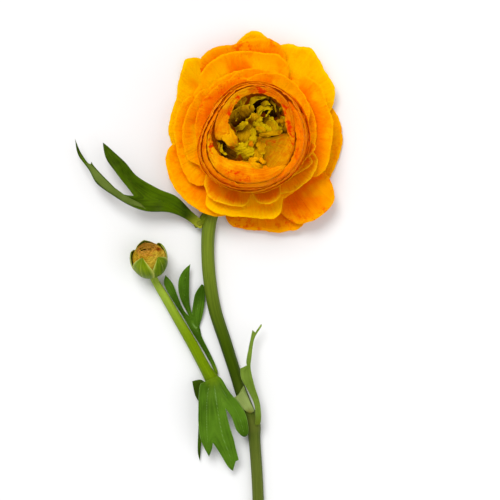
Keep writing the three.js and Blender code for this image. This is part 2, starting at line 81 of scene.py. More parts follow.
# Open petals: the layer, the finish, then the rim as angle in degrees and radius.
GUARD_PETALS = [
    (0, "petal_sun", [
        (70, 31), (76, 36), (81, 38.4), (85, 40.1), (89, 40.8), (93, 40.1), (98, 37.8),
        (103, 35), (110, 30)]),
    (2, "petal_ember", [
        (64, 30), (69, 35), (74, 37), (81, 37.9), (88, 37.4), (95, 36.9), (102, 35.8),
        (109, 36.5), (116, 37.2), (125, 36.3), (130, 33), (136, 27)]),
    (1, "petal_sun", [
        (10, 26), (14, 31), (18, 33.2), (22, 35.2), (29, 37.3), (41, 37.8), (52, 40.2),
        (55, 40.9), (62, 38.8), (68, 38.4), (74, 36), (80, 30)]),
    (0, "petal_amber", [
        (-46, 28), (-40, 33), (-33, 35.8), (-25, 35.6), (-15, 35.7), (-5, 36), (5, 35.3),
        (12, 34.5), (18, 33.3), (24, 31), (30, 26)]),
    (1, "petal_ember", [
        (-76, 28), (-70, 35), (-65, 40.2), (-60, 41.9), (-54, 43.1), (-48, 43.4), (-40, 42.3),
        (-36, 39.7), (-31, 36), (-26, 29)]),
    (0, "petal_ember", [
        (249, 29), (250.5, 34), (253, 36.6), (257, 38.1), (266, 38.6), (276, 39.4), (284, 41.3),
        (289, 41.5), (294, 42.8), (300, 41.5), (306, 37), (311, 30)]),
    (2.3, "petal_amber", [
        (183, 26), (187, 31), (191, 34.7), (198, 36.5), (208, 37.9), (220, 38.4), (228, 38.3),
        (236, 37.8), (247, 36.7), (253, 34.5), (259, 29)]),
    (0, "petal_sun", [
        (118, 28), (124, 35.8), (128, 38.2), (133, 40.3), (137, 38.6), (144, 36.5), (156, 33.5),
        (169, 33.6), (179, 34.1), (188, 32.7), (194, 30), (200, 26)]),
]
OUTER_PETALS = [
    (3.3, "petal_amber", [
        (56, 25), (62, 30.5), (72, 32.5), (84, 31.5), (96, 32.5), (110, 33), (122, 32.5),
        (134, 30.5), (142, 25)]),
    (3.3, "petal_amber", [
        (-42, 24), (-36, 30.5), (-26, 32.5), (-10, 31.5), (6, 32), (20, 31.5), (34, 32.5),
        (46, 31), (54, 25)]),
    (3.3, "petal_sun", [
        (233, 30), (237, 35), (244, 35.4), (252, 34.6), (262, 33.8), (272, 33.9), (283, 35.6),
        (289, 34.2), (295, 28)]),
    (3.3, "petal_amber", [
        (144, 24), (150, 29.5), (162, 31), (176, 31.5), (190, 31), (204, 31.5), (218, 32),
        (226, 30), (231, 25)]),
]
# Petals on the lower side take a finish with a darker blade as painted shade and a lighter rim as a
# painted highlight.
MIDDLE_PETALS = [
    (4.3, "petal_amber", [
        (131, 19), (133, 23.5), (137, 26), (143, 26.9), (155, 26.8), (168, 27.6), (187, 28.1),
        (203, 27.6), (214, 24)]),
    (4.3, "petal_amber", [
        (58, 22), (66, 24.6), (76, 25.4), (86, 25.7), (97, 25.4), (108, 24.3), (116, 22.5),
        (124, 20)]),
    (5.3, "petal_amber", [
        (6, 22), (14, 23.4), (24, 24.8), (35, 25.6), (47, 25.8), (60, 26.2), (72, 25.3),
        (84, 23.9), (96, 21.2)]),
    (6.15, "petal_hollow", [
        (272, 22.3), (284, 21.3), (296, 21.2), (308, 21.4), (320, 21.9), (332, 23.2), (342, 25),
        (350, 26.2), (353, 24)]),
    (5.3, "petal_hollow", [
        (301, 21.8), (308, 22.4), (316, 23.5), (324, 25), (331, 26.5), (335, 26.8), (340, 24)]),
    (4.3, "petal_hollow", [
        (281, 22), (285, 24.4), (290, 25.8), (298, 27.2), (308, 28.7), (320, 29.3), (330, 29.4),
        (338, 28), (345, 24)]),
    (4.3, "petal_hollow", [
        (221, 24), (227, 28.4), (234, 30.3), (241, 30.9), (250, 30.5), (258, 30), (264, 29.2),
        (268, 26.8), (270, 22.8)]),
    (5.3, "petal_hollow", [
        (270, 23.2), (272, 26), (276, 27.8), (282, 28.6), (289, 28.7), (295, 27), (299, 23)]),
]

OPEN_PETALS = {"guard": GUARD_PETALS, "outer": OUTER_PETALS, "middle": MIDDLE_PETALS}

# Rings of petals that fill the flower under its open ones, from the outside in: the layer, the
# finish, the middle of the first petal in degrees and how far the rims reach. None is as far as
# the cup's outline.
INNER_RINGS = [
    (1.7, "petal_amber", 22, 29), (2.6, "petal_ember", 64, 28), (3.7, "petal_amber", 8, 25.5),
    (4.7, "petal_ember", 50, 23.5), (5.6, "petal_amber", 30, None), (6.4, "petal_ember", 78, None),
]
INNER_COUNT = 4
INNER_OVERLAP = 0.3  # layers between neighbours in a ring
INNER_RIM = [(-56, 0.8), (-48, 0.93), (-32, 0.985), (0, 1), (32, 0.985), (48, 0.93), (56, 0.8)]

# The outline of the closed cup from above, as angle in degrees and radius.
CUP_OUTLINE = [
    (0, 22.4), (45, 21.7), (75, 21), (105, 19.7), (120, 18.4), (150, 17.2), (175, 18.4),
    (190, 20), (215, 21.8), (250, 21.7), (300, 21.6), (345, 22.5), (360, 22.4),
]

# Petals that stand against the wall of the cup: the middle and the half width in degrees, how far
# out they stand, the height of the tip and the finish.
COLLAR_PETALS = [
    (12, 36, 1.5, 26.6, "petal_ember"), (58, 33, 0.7, 28.6, "petal_ember"),
    (104, 36, 1.3, 26, "petal_amber"), (152, 34, 0.6, 28.2, "petal_ember"),
    (204, 38, 1.2, 26.8, "petal_ember"), (256, 36, 0.6, 28.8, "petal_hollow"),
    (308, 36, 1.2, 26.2, "petal_hollow"),
]

# Petals of the closed cup, from the outside in: the wall and the rim as angle in degrees and radius
# round the cup's middle, the heights of the crown and of the rim, and the finish.
CUP_PETALS = [
    {"wall": [(112, 17.8), (129, 17.9), (150, 17.4), (175, 18.7), (190, 20.3), (203, 21.4),
              (215, 22), (230, 22.2), (250, 21.8), (270, 21.3), (300, 21.2)],
     "rim": [(112, 17.4), (129, 17.4), (150, 16.8), (175, 18), (190, 19.7), (203, 20.9),
             (215, 21.5), (230, 21.7), (250, 21.4), (270, 21), (300, 21)],
     "crown": 29.8, "top": 31, "order": 1, "finish": "cup_orange"},
    {"wall": [(258, 22), (290, 21.9), (320, 22.4), (345, 22.7), (370, 22.4), (400, 21.8)],
     "rim": [(258, 21.8), (290, 21.5), (320, 21.6), (345, 21.7), (370, 21.5), (400, 21.2)],
     "crown": 26.8, "top": 28.6, "order": 0, "finish": "cup_orange"},
    {"wall": [(20, 21.9), (45, 21.8), (60, 21.5), (75, 21.1), (90, 20.7), (105, 19.9),
              (120, 18.6), (140, 17.9)],
     "rim": [(20, 21), (45, 21.1), (60, 21), (75, 20.7), (90, 20.3), (105, 19.6),
             (120, 18.2), (140, 17.4)],
     "crown": 29.6, "top": 31.6, "order": 1, "finish": "cup_orange"},
    {"wall": [(132, 16.4), (150, 16.3), (165, 16.9), (183, 18.6), (198, 19.9), (211, 20.7),
              (225, 21.1), (240, 21), (273, 20.5), (289, 20.5), (304, 20.6), (325, 20.6)],
     "rim": [(132, 14.6), (150, 15.1), (165, 15.7), (183, 17.1), (198, 18.1), (211, 18.9),
             (225, 19.3), (240, 19.4), (273, 19.1), (289, 19.2), (304, 19.4), (325, 19.7)],
     "crown": 31.6, "top": 32.8, "order": 3, "finish": "cup_orange"},
    {"wall": [(292, 20.4), (310, 20.8), (332, 21.3), (345, 21.4), (359, 21.2), (375, 20.8),
              (388, 20.7), (402, 20.9)],
     "rim": [(292, 19), (310, 18.8), (332, 18.6), (345, 18.4), (359, 18), (375, 17.6),
             (388, 18.2), (402, 19.6)],
     "crown": 32.4, "top": 32.2, "order": 2, "finish": "cup_orange"},
    {"wall": [(58, 20.7), (75, 20.4), (90, 20), (105, 19.3), (118, 17.6), (132, 16.4),
              (150, 15.9)],
     "rim": [(58, 20), (75, 19.8), (90, 19.4), (105, 18.7), (118, 17), (132, 15.9),
             (150, 15.4)],
     "crown": 31.8, "top": 33.2, "order": 2, "finish": "cup_orange"},
    {"wall": [(150, 15), (165, 15.5), (183, 16.7), (200, 17.8), (215, 18.6), (230, 18.9),
              (250, 19), (270, 18.8), (290, 18.9), (310, 19), (330, 19)],
     "rim": [(150, 14.7), (165, 14.8), (183, 15), (200, 14.7), (215, 13.8), (228, 12.5),
             (245, 11), (262, 10.4), (280, 11.4), (300, 13.4), (330, 15.2)],
     "crown": 33.4, "top": 31.8, "order": 4, "finish": "cup_ember"},
    {"wall": [(286, 17), (300, 17.4), (320, 18), (340, 18.4), (352, 18.2), (363, 17.6)],
     "rim": [(286, 13.6), (294, 11.6), (302, 8.8), (311, 6.4), (322, 4.8), (334, 4.2),
             (346, 4.8), (356, 6.4), (363, 8.6)],
     "crown": 33, "top": 29.6, "order": 5, "finish": "cup_olive", "swell": 1.1},
    {"wall": [(-24, 17.6), (-8, 17.6), (2, 17.6), (14, 17.9), (26, 18.6), (45, 19.7), (58, 20),
              (75, 19.6), (92, 19), (108, 18.2), (122, 17)],
     "rim": [(-24, 17), (-8, 16), (2, 14.9), (14, 14.4), (22, 14.6), (33, 16), (44, 16.9),
             (56, 17.2), (69, 17), (86, 16.4), (108, 14.4), (122, 13.6)],
     "crown": 33.6, "top": 33.2, "order": 4, "finish": "cup_ember"},
    {"wall": [(62, 18.9), (75, 18.8), (90, 18.4), (105, 17.6), (118, 16.4), (130, 15.2),
              (145, 14.6), (160, 14.3), (176, 13.9), (190, 13.4)],
     "rim": [(62, 18), (75, 17.2), (90, 16.2), (102, 15), (114, 13.4), (127, 11.4),
             (144, 10.4), (158, 8.8), (174, 8), (190, 8.4)],
     "crown": 34.3, "top": 33.4, "order": 5, "finish": "cup_ember"},
]

# Narrow folds over the turned-in petals: the petal they lie on, how far in they reach, their lift
# and the angles where they start and end.
CUP_FOLDS = [
    (7, 0.25, 0.6, 192, 322), (7, 0.6, 0.55, 212, 290), (9, 0.3, 0.7, 4, 104),
    (9, 0.68, 0.6, 24, 88), (10, 0.25, 0.75, 70, 178), (10, 0.55, 0.65, 84, 168),
    (5, 0.5, 0.5, 300, 396), (4, 0.45, -0.7, 156, 316), (7, 0.12, -0.5, 160, 326),
    (6, -0.5, -1.6, 62, 146), (5, -0.2, -1.8, 296, 398), (10, -0.1, -1.6, 66, 150),
    (1, -0.5, -4, 124, 262), (3, -0.4, -4.2, 32, 128), (2, -0.6, -2.2, 292, 384),
    (1, -1.1, -5.4, 176, 246), (2, -0.9, -3.6, 272, 330),
]

# Curled petals in the mouth of the cup: points of the spine beside the cup's middle, the widths
# there, the direction across the blade in degrees and its rise, the roll, and the finish. The
# first EYE_NODES of them stand for the eye's nodes in the frame.
EYE_NODES = 6
EYE_PETALS = [
    ([(9.8, -3.6, 23), (10, -4.6, 25.5), (7.6, -3.6, 27.6), (4, -1.6, 28.6)],
     (3, 7, 8, 5), 118, 10, 1, "eye_gold"),
    ([(-12.2, 5.6, 30), (-10.6, 2.8, 32.9), (-8, -0.8, 32.6), (-5.2, -4.2, 30.6)],
     (5.5, 5.8, 5.6, 4.2), 38, -8, 0.8, "eye_amber"),
    ([(-3, 4, 23), (-5.4, 6.6, 26), (-6.4, 8.6, 29), (-5.6, 10.2, 31.2)],
     (4, 6, 7, 5), 40, 0, 1.4, "eye_olive"),
    ([(0.2, 5, 23), (-1, 7.6, 27), (-1.6, 10, 30), (-1, 12, 31.6)],
     (4, 6, 7, 5), 5, 10, 1.6, "eye_olive"),
    ([(4, 4, 23), (7, 5.2, 26), (8.6, 6, 28.6), (8, 4.2, 30.4)],
     (4, 5, 5, 4), -60, 5, 1.2, "eye_olive"),
    ([(0.6, -4.6, 23), (1, -8.6, 27), (1.4, -11.4, 30.4), (2.2, -12.2, 32.6)],
     (4, 8, 9, 7), 5, 0, 1.6, "eye_gold"),
    ([(-0.4, 10.6, 30.4), (0.2, 12.6, 31.4), (2.4, 14.4, 31.8), (6.4, 15.2, 31)],
     (1, 2, 2.2, 1), -45, 30, 0.3, "eye_lime"),
    ([(2.6, 7.8, 29.6), (4.2, 10.2, 31), (6.6, 11.2, 31.2), (8.6, 10.2, 30)],
     (1.6, 3, 3, 1.8), -50, 25, 0.5, "eye_lime"),
    ([(0.4, 4.4, 28.6), (1.6, 6, 29.8), (2.6, 7.6, 30.2), (3.6, 8.6, 29.6)],
     (3.6, 4.4, 4, 2.4), -30, 0, 0.6, "eye_olive"),
    ([(3, 5.2, 30.2), (4, 3.8, 31), (4.6, 2, 31), (5, 0.8, 30)],
     (2.4, 3.6, 3.4, 2), 30, 15, 0.7, "eye_lime"),
    ([(6.2, 4.8, 29.8), (8.2, 3.8, 31), (10, 2.2, 30.8), (10.6, 1, 29.6)],
     (2.6, 4, 3.8, 2), 55, 10, 0.8, "eye_olive"),
    ([(1.1, 3, 29.4), (1.3, 0.6, 31.6), (1.2, -1.8, 31.8), (1, -4, 30.6)],
     (1.8, 2.4, 2.4, 1.8), 0, 12, 0.3, "eye_lime"),
    ([(-5.8, 2.4, 29.6), (-4, 3.2, 30.9), (-2.4, 4.4, 31), (-0.8, 5.2, 30.2)],
     (1.4, 2.2, 2.2, 1.2), 115, 20, 0.3, "eye_lime"),
    ([(-3.4, 3.4, 26.6), (-2.6, 1.2, 28.4), (-1.8, -1, 28.8), (-1.4, -2.8, 28)],
     (4, 5.4, 5.4, 4), 15, 0, 0.8, "eye_olive"),
    ([(-11, -3.8, 29.6), (-11.4, -5.4, 30.4), (-10.4, -6.9, 30.3), (-9, -7.6, 29.4)],
     (0.8, 1.2, 1.2, 0.8), 35, 10, 0.1, "eye_lime"),
    ([(-11.6, -5, 24), (-9.6, -6.4, 27.6), (-7.2, -7.4, 29), (-4.6, -8, 29)],
     (3, 4.6, 4.4, 3), 70, 20, 0.8, "eye_dark"),
    ([(-5.4, -6.8, 28.8), (-4, -5.6, 30.6), (-2.4, -4.6, 31), (-0.8, -3.8, 30.2)],
     (2, 3.4, 3.6, 2.2), 125, 0, 0.7, "eye_lime"),
    ([(-2.6, -9, 28.4), (-1.6, -7.4, 30.6), (-0.2, -5.8, 31.2), (1.4, -5, 30.4)],
     (2.4, 4, 4, 2.4), 130, 0, 0.8, "eye_lime"),
    ([(1, -4.4, 28.4), (1.8, -6.2, 29.6), (2.8, -8.2, 30.6), (3.8, -10.2, 31.2)],
     (2.8, 4.4, 4.8, 3.8), 35, 0, 0.7, "eye_gold"),
    ([(-1.8, 2.2, 27), (-0.8, 3.6, 27.8), (0.4, 5, 28), (1.6, 6.2, 27.6)],
     (3.4, 4.6, 4.6, 3.4), -40, 0, 0.6, "eye_olive"),
    ([(-0.6, -10, 30.6), (0.8, -11.4, 32.2), (2.8, -12.2, 32.8), (5, -12.4, 32.4)],
     (2, 3, 3, 2), 80, 10, 0.6, "eye_amber"),
    ([(9.6, -1, 24), (12.2, 1.6, 27), (13.4, 4.4, 29.4), (13, 7.4, 30.6)],
     (4, 5, 5, 4), -20, 30, 0.8, "eye_olive"),
    ([(7, 8, 23), (9.2, 10.4, 26), (10, 12.4, 28.6), (9, 13.4, 30.2)],
     (5, 7, 7, 5), -45, 0, 1.6, "eye_dark"),
    ([(2, 9, 23), (3.6, 12, 26), (4.2, 14.2, 28.6), (4, 15.2, 30)],
     (5, 7, 7, 5), -10, 0, 1.6, "eye_dark"),
    ([(-9, 0, 23), (-11, -2, 26), (-12, -3.6, 28), (-12, -5, 29)],
     (5, 7, 6, 4), 100, 0, 1.2, "eye_dark"),
    ([(-4.4, 15.1, 30.6), (-4.2, 14, 31.2), (-3.8, 12.9, 31), (-3.5, 11.6, 30)],
     (0.6, 1, 1, 0.6), 10, 20, 0.1, "eye_lime"),
    ([(3.1, 8.3, 30.4), (3.3, 9.6, 31.2), (4.7, 10.8, 31.6), (7.2, 11.4, 31)],
     (0.8, 1.3, 1.5, 1), -60, 25, 0.3, "eye_lime"),
    ([(8.4, 11.4, 31), (8.1, 10.2, 31.2), (7.1, 8.8, 30.8), (6.3, 7.4, 30)],
     (0.8, 1.1, 1.1, 0.7), 20, 20, 0.2, "eye_lime"),
    ([(4.4, 11.9, 31.2), (5.5, 12.5, 31.8), (6.9, 12.7, 31.8), (8.1, 12.1, 31.2)],
     (1, 2, 2, 1), -80, 10, 0.4, "eye_lime"),
    ([(7.1, 15.3, 28), (8.4, 13.8, 28.8), (9.5, 11.9, 29), (10.1, 9.2, 28.4)],
     (0.9, 1.4, 1.4, 0.9), 25, 40, 0.3, "eye_olive"),
    ([(8.9, 11.9, 27), (10.2, 10.6, 27.8), (11.1, 8.7, 27.8), (11.2, 6.6, 27.2)],
     (1.2, 2, 2, 1.2), 20, 30, 0.4, "eye_dark"),
    ([(4.5, 14.2, 28.6), (5.5, 15, 29.2), (6.7, 15.3, 29.2), (7.7, 14.6, 28.6)],
     (0.8, 1.4, 1.4, 0.8), -80, 30, 0.3, "eye_olive"),
    ([(7.9, 6.4, 29.4), (8.4, 6.8, 30.2), (9, 6.6, 30.2), (9.2, 6, 29.6)],
     (0.8, 1.3, 1.3, 0.8), -80, 10, 0.3, "eye_lime"),
    ([(7.8, 5, 29.6), (8.7, 5, 30.6), (9.7, 4.4, 30.8), (10.8, 4.2, 30)],
     (1.4, 2.2, 2.2, 1.2), 80, 0, 0.5, "eye_lime"),
    ([(10.4, 6, 29.6), (11.6, 5.8, 30.6), (12.5, 5, 30.8), (12.9, 3.5, 30)],
     (1, 1.8, 1.8, 1), 35, 10, 0.4, "eye_gold"),
    ([(8.3, 2.6, 29.4), (9.6, 2.8, 30.4), (11.1, 2.8, 30.6), (12.5, 2.8, 30.2)],
     (0.8, 1.6, 1.6, 1), 80, 10, 0.3, "eye_lime"),
    ([(11.9, 9.8, 29.2), (12.1, 10.4, 30), (12.4, 10.8, 30), (12.6, 11.2, 29.4)],
     (0.5, 0.9, 0.9, 0.5), 20, 20, 0.1, "eye_lime"),
    ([(2.1, 4.6, 30), (3.2, 5.5, 31), (4.4, 6.2, 31.2), (3.8, 7.1, 30.6)],
     (1.2, 1.9, 1.7, 0.9), 50, 15, 0.4, "eye_lime"),
    ([(1.3, 4.2, 29.8), (2.6, 4.2, 30.8), (3.7, 3.9, 31), (4.6, 3.6, 30.4)],
     (1.2, 2.2, 2.2, 1.2), 80, 0, 0.5, "eye_lime"),
    ([(4.7, 4.2, 30), (5.9, 3.6, 31), (7.1, 2.8, 31.2), (8.3, 2, 30.6)],
     (1, 2, 2, 1), 60, 10, 0.4, "eye_lime"),
    ([(2.6, 3.2, 30.4), (3.6, 2.6, 31.2), (4.8, 2.4, 31.4), (6.1, 1.8, 31)],
     (1, 1.8, 1.8, 1), 70, 10, 0.4, "eye_gold"),
    ([(-5.5, -5.8, 29.6), (-4.4, -5, 30.6), (-3.3, -4.2, 31), (-2.4, -3.2, 30.4)],
     (1.6, 2.6, 2.4, 1.4), 130, 0, 0.7, "eye_lime"),
    ([(-0.7, -1.3, 30.4), (-1.1, -2.5, 31.2), (-1.6, -3.6, 31.2), (-1.9, -4.9, 30.4)],
     (0.8, 1.5, 1.5, 0.8), 10, 20, 0.3, "eye_lime"),
    ([(-0.3, -1.8, 31), (0.1, -2.8, 31.9), (0.4, -3.6, 32), (0.8, -4.5, 31.4)],
     (1.2, 2, 2, 1.2), 10, 10, 0.5, "eye_ember"),
    ([(-5.9, 7.4, 29), (-5.5, 6.6, 29.8), (-5.2, 6, 29.8), (-4.6, 6.6, 29.2)],
     (0.6, 1, 1, 0.6), 60, 10, 0.2, "eye_lime"),
    ([(-3.1, -3.6, 28.6), (-3.5, -4.6, 29.6), (-3.3, -5.9, 29.8), (-3.3, -7, 29.2)],
     (1.2, 2.2, 2.2, 1.2), 0, 0, 0.5, "eye_lime"),
    ([(-13.3, -2.2, 28.4), (-12.5, -3, 29.4), (-12, -4.2, 29.6), (-12.1, -5.4, 29)],
     (0.6, 1.1, 1.1, 0.6), 20, 20, 0.2, "eye_olive"),
    ([(-0.3, -8.9, 31.8), (1.1, -9.6, 32.7), (2.6, -9.4, 32.9), (4, -10, 32.5)],
     (1, 1.9, 1.9, 1.1), 90, 10, 0.4, "eye_amber"),
    ([(3.2, -9.2, 32.3), (4.4, -9.7, 33), (5.2, -10.5, 33), (6.1, -10.8, 32.5)],
     (0.9, 1.7, 1.7, 0.9), 70, 10, 0.4, "eye_amber"),
    ([(3.6, 0.4, 29), (6.4, 1.1, 30.2), (9.6, 1.5, 30.4), (12.8, 1.6, 29.8)],
     (2, 3.2, 3.2, 2.2), 90, 5, 0.4, "eye_gold"),
    ([(3.4, -0.6, 28.8), (3.9, -2.8, 30.2), (4.4, -5, 30.8), (5, -7.4, 30.8)],
     (2.4, 3.4, 3.6, 2.6), 0, 0, 0.5, "eye_gold"),
    ([(-8.6, 7, 26.5), (-7.4, 10.4, 28.6), (-5, 13.2, 29.8), (-1.6, 15, 29.6)],
     (3, 5.2, 5.2, 3.2), -50, 10, 0.8, "eye_olive"),
]

# Centre lines of the stems as x, y, z and the radius there.
MAIN_STEM_PATH = [
    (20.4, -105.8, 2.3, 2.3), (19.9, -89, 2.3, 2.3), (19.3, -73.3, 2.3, 2.3),
    (18.2, -57.5, 2.4, 2.4), (17.6, -51.6, 3, 3), (15, -44.2, 2.5, 2.5),
    (12.5, -37.6, 2.35, 2.35), (10.6, -31.2, 2.35, 2.35), (6.5, -18.4, 2.5, 2.5),
    (2.4, -5.7, 2.6, 2.6), (0.2, 7.1, 2.65, 2.65), (-0.5, 18.2, 2.65, 2.65),
    (-0.1, 26.6, 2.75, 2.75), (1.4, 33, 2.7, 2.7), (5.2, 42.2, 2.6, 2.6),
    (9.8, 51.6, 2.75, 2.5), (13.6, 58.4, 3.3, 2.5), (16.1, 62.6, 5.2, 2.6),
    (17.4, 64.8, 8, 2.8), (17.6, 65, 10.3, 3.2),
]
SIDE_SHOOT_PATH = [
    (10.5, -44.2, 3, 1.7), (6.6, -39.4, 3, 2), (2.2, -34.6, 3, 2.9),
    (-1.3, -29.2, 2.9, 2.3), (-6.6, -19.4, 2.8, 2.1), (-12.2, -9.8, 2.6, 1.9),
    (-17.6, -0.6, 2.2, 1.7), (-21.1, 5.1, 1.8, 1.5), (-22.7, 8.5, 1.7, 1.5),
]

# The swollen foot of the upper leaf where it leaves the stem, as for the stems.
LEAF_STALK_PATH = [
    (-5.7, 27.5, 3.3, 0.7), (-4.4, 28.3, 3.2, 1.2), (-2.8, 29.5, 3, 1.9),
    (-1.2, 31.2, 2.9, 2.2), (0.3, 33.6, 2.8, 1.6),
]

# Stalks: name, path, sides, rows, finish, slot and the nodes they replace.
STEMS = [
    ("flower_stem", MAIN_STEM_PATH, 64, 220, "stem_green", "stem", ["main_stem"]),
    ("bud_shoot", SIDE_SHOOT_PATH, 48, 160, "shoot_green", "shoot", ["side_shoot"]),
    ("upper_leaf_stalk", LEAF_STALK_PATH, 40, 60, "stalk_green", "stem", []),
]

# Leaves: the foot, heights of the blade by distance from the foot, the outline from the foot
# round the lobes, the ribs, how far the margins rise above the rib, and how much they wave.
LEAVES = {
    "upper_leaf": {
        "foot": (-3.5, 28.5),
        "heights": [(0, 3.2), (12, 7), (28, 10), (44, 8.6), (56, 6), (62, 3.4)],
        "outline": [
            (-3.2, 30), (-6.8, 33.5), (-12.8, 39.4), (-20.1, 42.6), (-28.4, 47.5),
            (-33.4, 53.2), (-39.4, 58.7), (-42.2, 61), (-40.8, 54.6), (-36.6, 48.6),
            (-31.6, 42.2), (-29.8, 39.7), (-34.8, 40.8), (-40.3, 45.9), (-45.6, 51.5),
            (-46.6, 53.3), (-47.3, 52.2), (-49.3, 54.4), (-51.3, 57.6), (-53.4, 62.6),
            (-52, 56), (-47.6, 50), (-44.4, 44.5), (-38, 39.9), (-32, 36.2),
            (-24.7, 33.6), (-16, 33.2), (-9.5, 30.7), (-3.4, 26.8),
        ],
        "corners": (7, 11, 15, 19),
        "ribs": [
            [(-3.4, 28.6), (-8.5, 31.8), (-16, 36.6), (-24, 40), (-30.6, 45),
             (-36, 52), (-42, 60.8)],
            [(-20, 37.4), (-28, 37.4), (-36.4, 40.4), (-43, 46.2), (-48.4, 52.4),
             (-53.2, 62)],
        ],
        "fold": 1.3, "wave": 0.5, "finish": "leaf_dark",
    },
    "side_leaf": {
        "foot": (2.6, -31),
        "heights": [(0, 1.4), (14, 1), (24, 1.2), (34, 2.4), (46, 3.6)],
        "outline": [
            (3.6, -31.4), (2.8, -28.2), (0.6, -23.3), (-2.6, -17), (-3.5, -13.6),
            (-3.7, -12), (-2.4, -7.3), (-1.6, -1.4), (-1.9, 3.4), (-2.9, 4.6), (-5.5, 0.6),
            (-6.6, -5), (-6.8, -7.5), (-7.8, -2), (-7.8, 7.9), (-7.4, 12.6), (-10.5, 9.6),
            (-12.2, 5.3), (-11.5, -1), (-7.9, -8.3), (-10.3, -5.4), (-12.8, 0.6),
            (-14.5, 4.9), (-17.3, 8.2), (-17.9, 4.5), (-14.6, -1.7), (-10.4, -8.3),
            (-6.8, -14.6), (-3.2, -20.3), (0.4, -26.6), (2.2, -30.2),
        ],
        "corners": (9, 12, 15, 19, 23),
        "ribs": [
            [(3, -30.8), (-1, -22.4), (-4.2, -15), (-4.9, -8.4), (-4.2, -2),
             (-2.8, 4.4)],
            [(-4.2, -15), (-7.2, -8.4), (-9.4, -1.2), (-9.8, 5.2), (-7.5, 12.4)],
            [(-4.2, -15), (-8.6, -8.6), (-12.4, -2), (-15.4, 3.4), (-17.2, 8)],
        ],
        "fold": 0.6, "wave": 0.25, "finish": "leaf_green",
    },
    "hanging_leaf": {
        "foot": (1.5, -33),
        "heights": [(0, 6.8), (8, 8.4), (18, 8.8), (28, 6.6), (38, 3.6)],
        "outline": [
            (-2, -34.4), (-3.6, -35.8), (-4.1, -43.2), (-4.1, -51.2), (-2.9, -58.1),
            (0.1, -64.2), (1.3, -60.9), (1.6, -58.5), (4.6, -63.1), (7.7, -68.3),
            (9.6, -69.9), (10.7, -66), (11.9, -65.5), (10.9, -61.4), (9.9, -57),
            (8.2, -51.5), (6.7, -44.9), (9, -48.2), (11.2, -53.7), (14, -56.2),
            (15.8, -54.2), (14.8, -47.6), (11.8, -42.4), (8.2, -38.3), (5.5, -33.6),
            (3.8, -32.2), (1.3, -32.9),
        ],
        "corners": (5, 7, 10, 11, 12, 16),
        "ribs": [
            [(0.6, -33.4), (-0.6, -40), (-0.9, -48), (-0.6, -56), (0.2, -63.8)],
            [(1.8, -33.2), (2.8, -40), (4, -48), (5.6, -56), (8.4, -64),
             (9.6, -69.4)],
            [(3, -33.2), (6.2, -38.6), (9.6, -43.6), (12.4, -49), (14.2, -55.6)],
        ],
        "fold": 0.7, "wave": 0.35, "finish": "leaf_green",
    },
    "hanging_leaf_lobe": {
        "foot": (0.6, -38),
        "heights": [(0, 3.2), (10, 4), (20, 2.4), (29, 1)],
        "outline": [
            (1.6, -38.2), (-0.6, -37.8), (-3.4, -43), (-4, -48), (-4.3, -54.8),
            (-4.5, -60), (-4.4, -63.1), (-3.6, -66.2), (-3.2, -60.9), (-2.7, -56),
            (-2, -48), (0.4, -42),
        ],
        "corners": (7,),
        "ribs": [[(0.4, -38.2), (-2.2, -44), (-3.2, -52), (-3.7, -60), (-3.7, -65.6)]],
        "fold": 0.2, "wave": 0.1, "finish": "lobe_dark",
    },
    "upper_leaf_turn": {
        "foot": (-3.5, 28.5),
        "heights": [(0, 3.7), (12, 7.5), (28, 10.5), (44, 9.3), (56, 6.9), (62, 4.4)],
        "outline": [
            (-47, 52.4), (-45.4, 50.8), (-40.3, 45.3), (-36, 42), (-32, 39.2),
            (-27, 36.6), (-25, 34.4), (-31.8, 36.4), (-37.8, 40.1), (-44, 44.8),
            (-47.2, 50), (-49, 53),
        ],
        "corners": (0, 6, 11),
        "ribs": [[(-48.4, 52.4), (-44.6, 47.8), (-38.6, 42.4), (-32, 38), (-26, 35.4)]],
        "fold": 0.2, "wave": 0.1, "finish": "leaf_under",
    },
    "folded_leaf_lobe": {
        "foot": (-1.4, -35.4),
        "heights": [(0, 3.2), (8, 3)],
        "outline": [
            (-1.4, -34.8), (-3, -33.6), (-4.9, -33.7), (-6.7, -34.2), (-5.6, -39.4),
            (-4.2, -42.1), (-3.4, -38), (-2.2, -36.4), (-1.2, -36),
        ],
        "corners": (3, 5),
        "ribs": [[(-1.4, -35.4), (-3.6, -35.6), (-5, -38), (-4.4, -41.4)]],
        "fold": 0.2, "wave": 0.1, "finish": "lobe_dark",
    },
    "narrow_leaf": {
        "foot": (19.5, -51.2),
        "heights": [(0, 6.3), (12, 7.4), (24, 7.8), (40, 5.2)],
        "outline": [
            (20.4, -51), (20.8, -47.5), (20.2, -42.1), (18.2, -35.9), (16.7, -29),
            (17, -24.3), (18.2, -17), (21.1, -12.1), (20.7, -11.4), (18.5, -14.7),
            (17.4, -13.6), (16.2, -19.1), (15, -25.5), (15.1, -27.7), (12.5, -29),
            (12.9, -32.9), (15.3, -37.2), (18, -43), (18.6, -48), (18.4, -51.4),
        ],
        "corners": (8, 9, 10, 13, 14),
        "ribs": [
            [(19.4, -51.2), (19.4, -43), (17.4, -37), (15.8, -31), (15.9, -25),
             (17.2, -17.6), (20.6, -12)],
        ],
        "fold": 0.6, "wave": 0.2, "finish": "leaf_pale",
    },
    "node_sheath": {
        "foot": (16.2, -46.9),
        "heights": [(0, 5.9), (12, 5.6)],
        "outline": [
            (13.9, -35.9), (11.5, -39.6), (9.8, -40.5), (13.2, -44.8), (16.2, -46.9),
            (18, -45.9), (16.6, -42.7), (15, -39),
        ],
        "corners": (0, 2, 4),
        "ribs": [[(16.4, -46.2), (14, -42), (12.4, -39.6)]],
        "fold": 0.3, "wave": 0.1, "finish": "sheath_pale",
    },
}

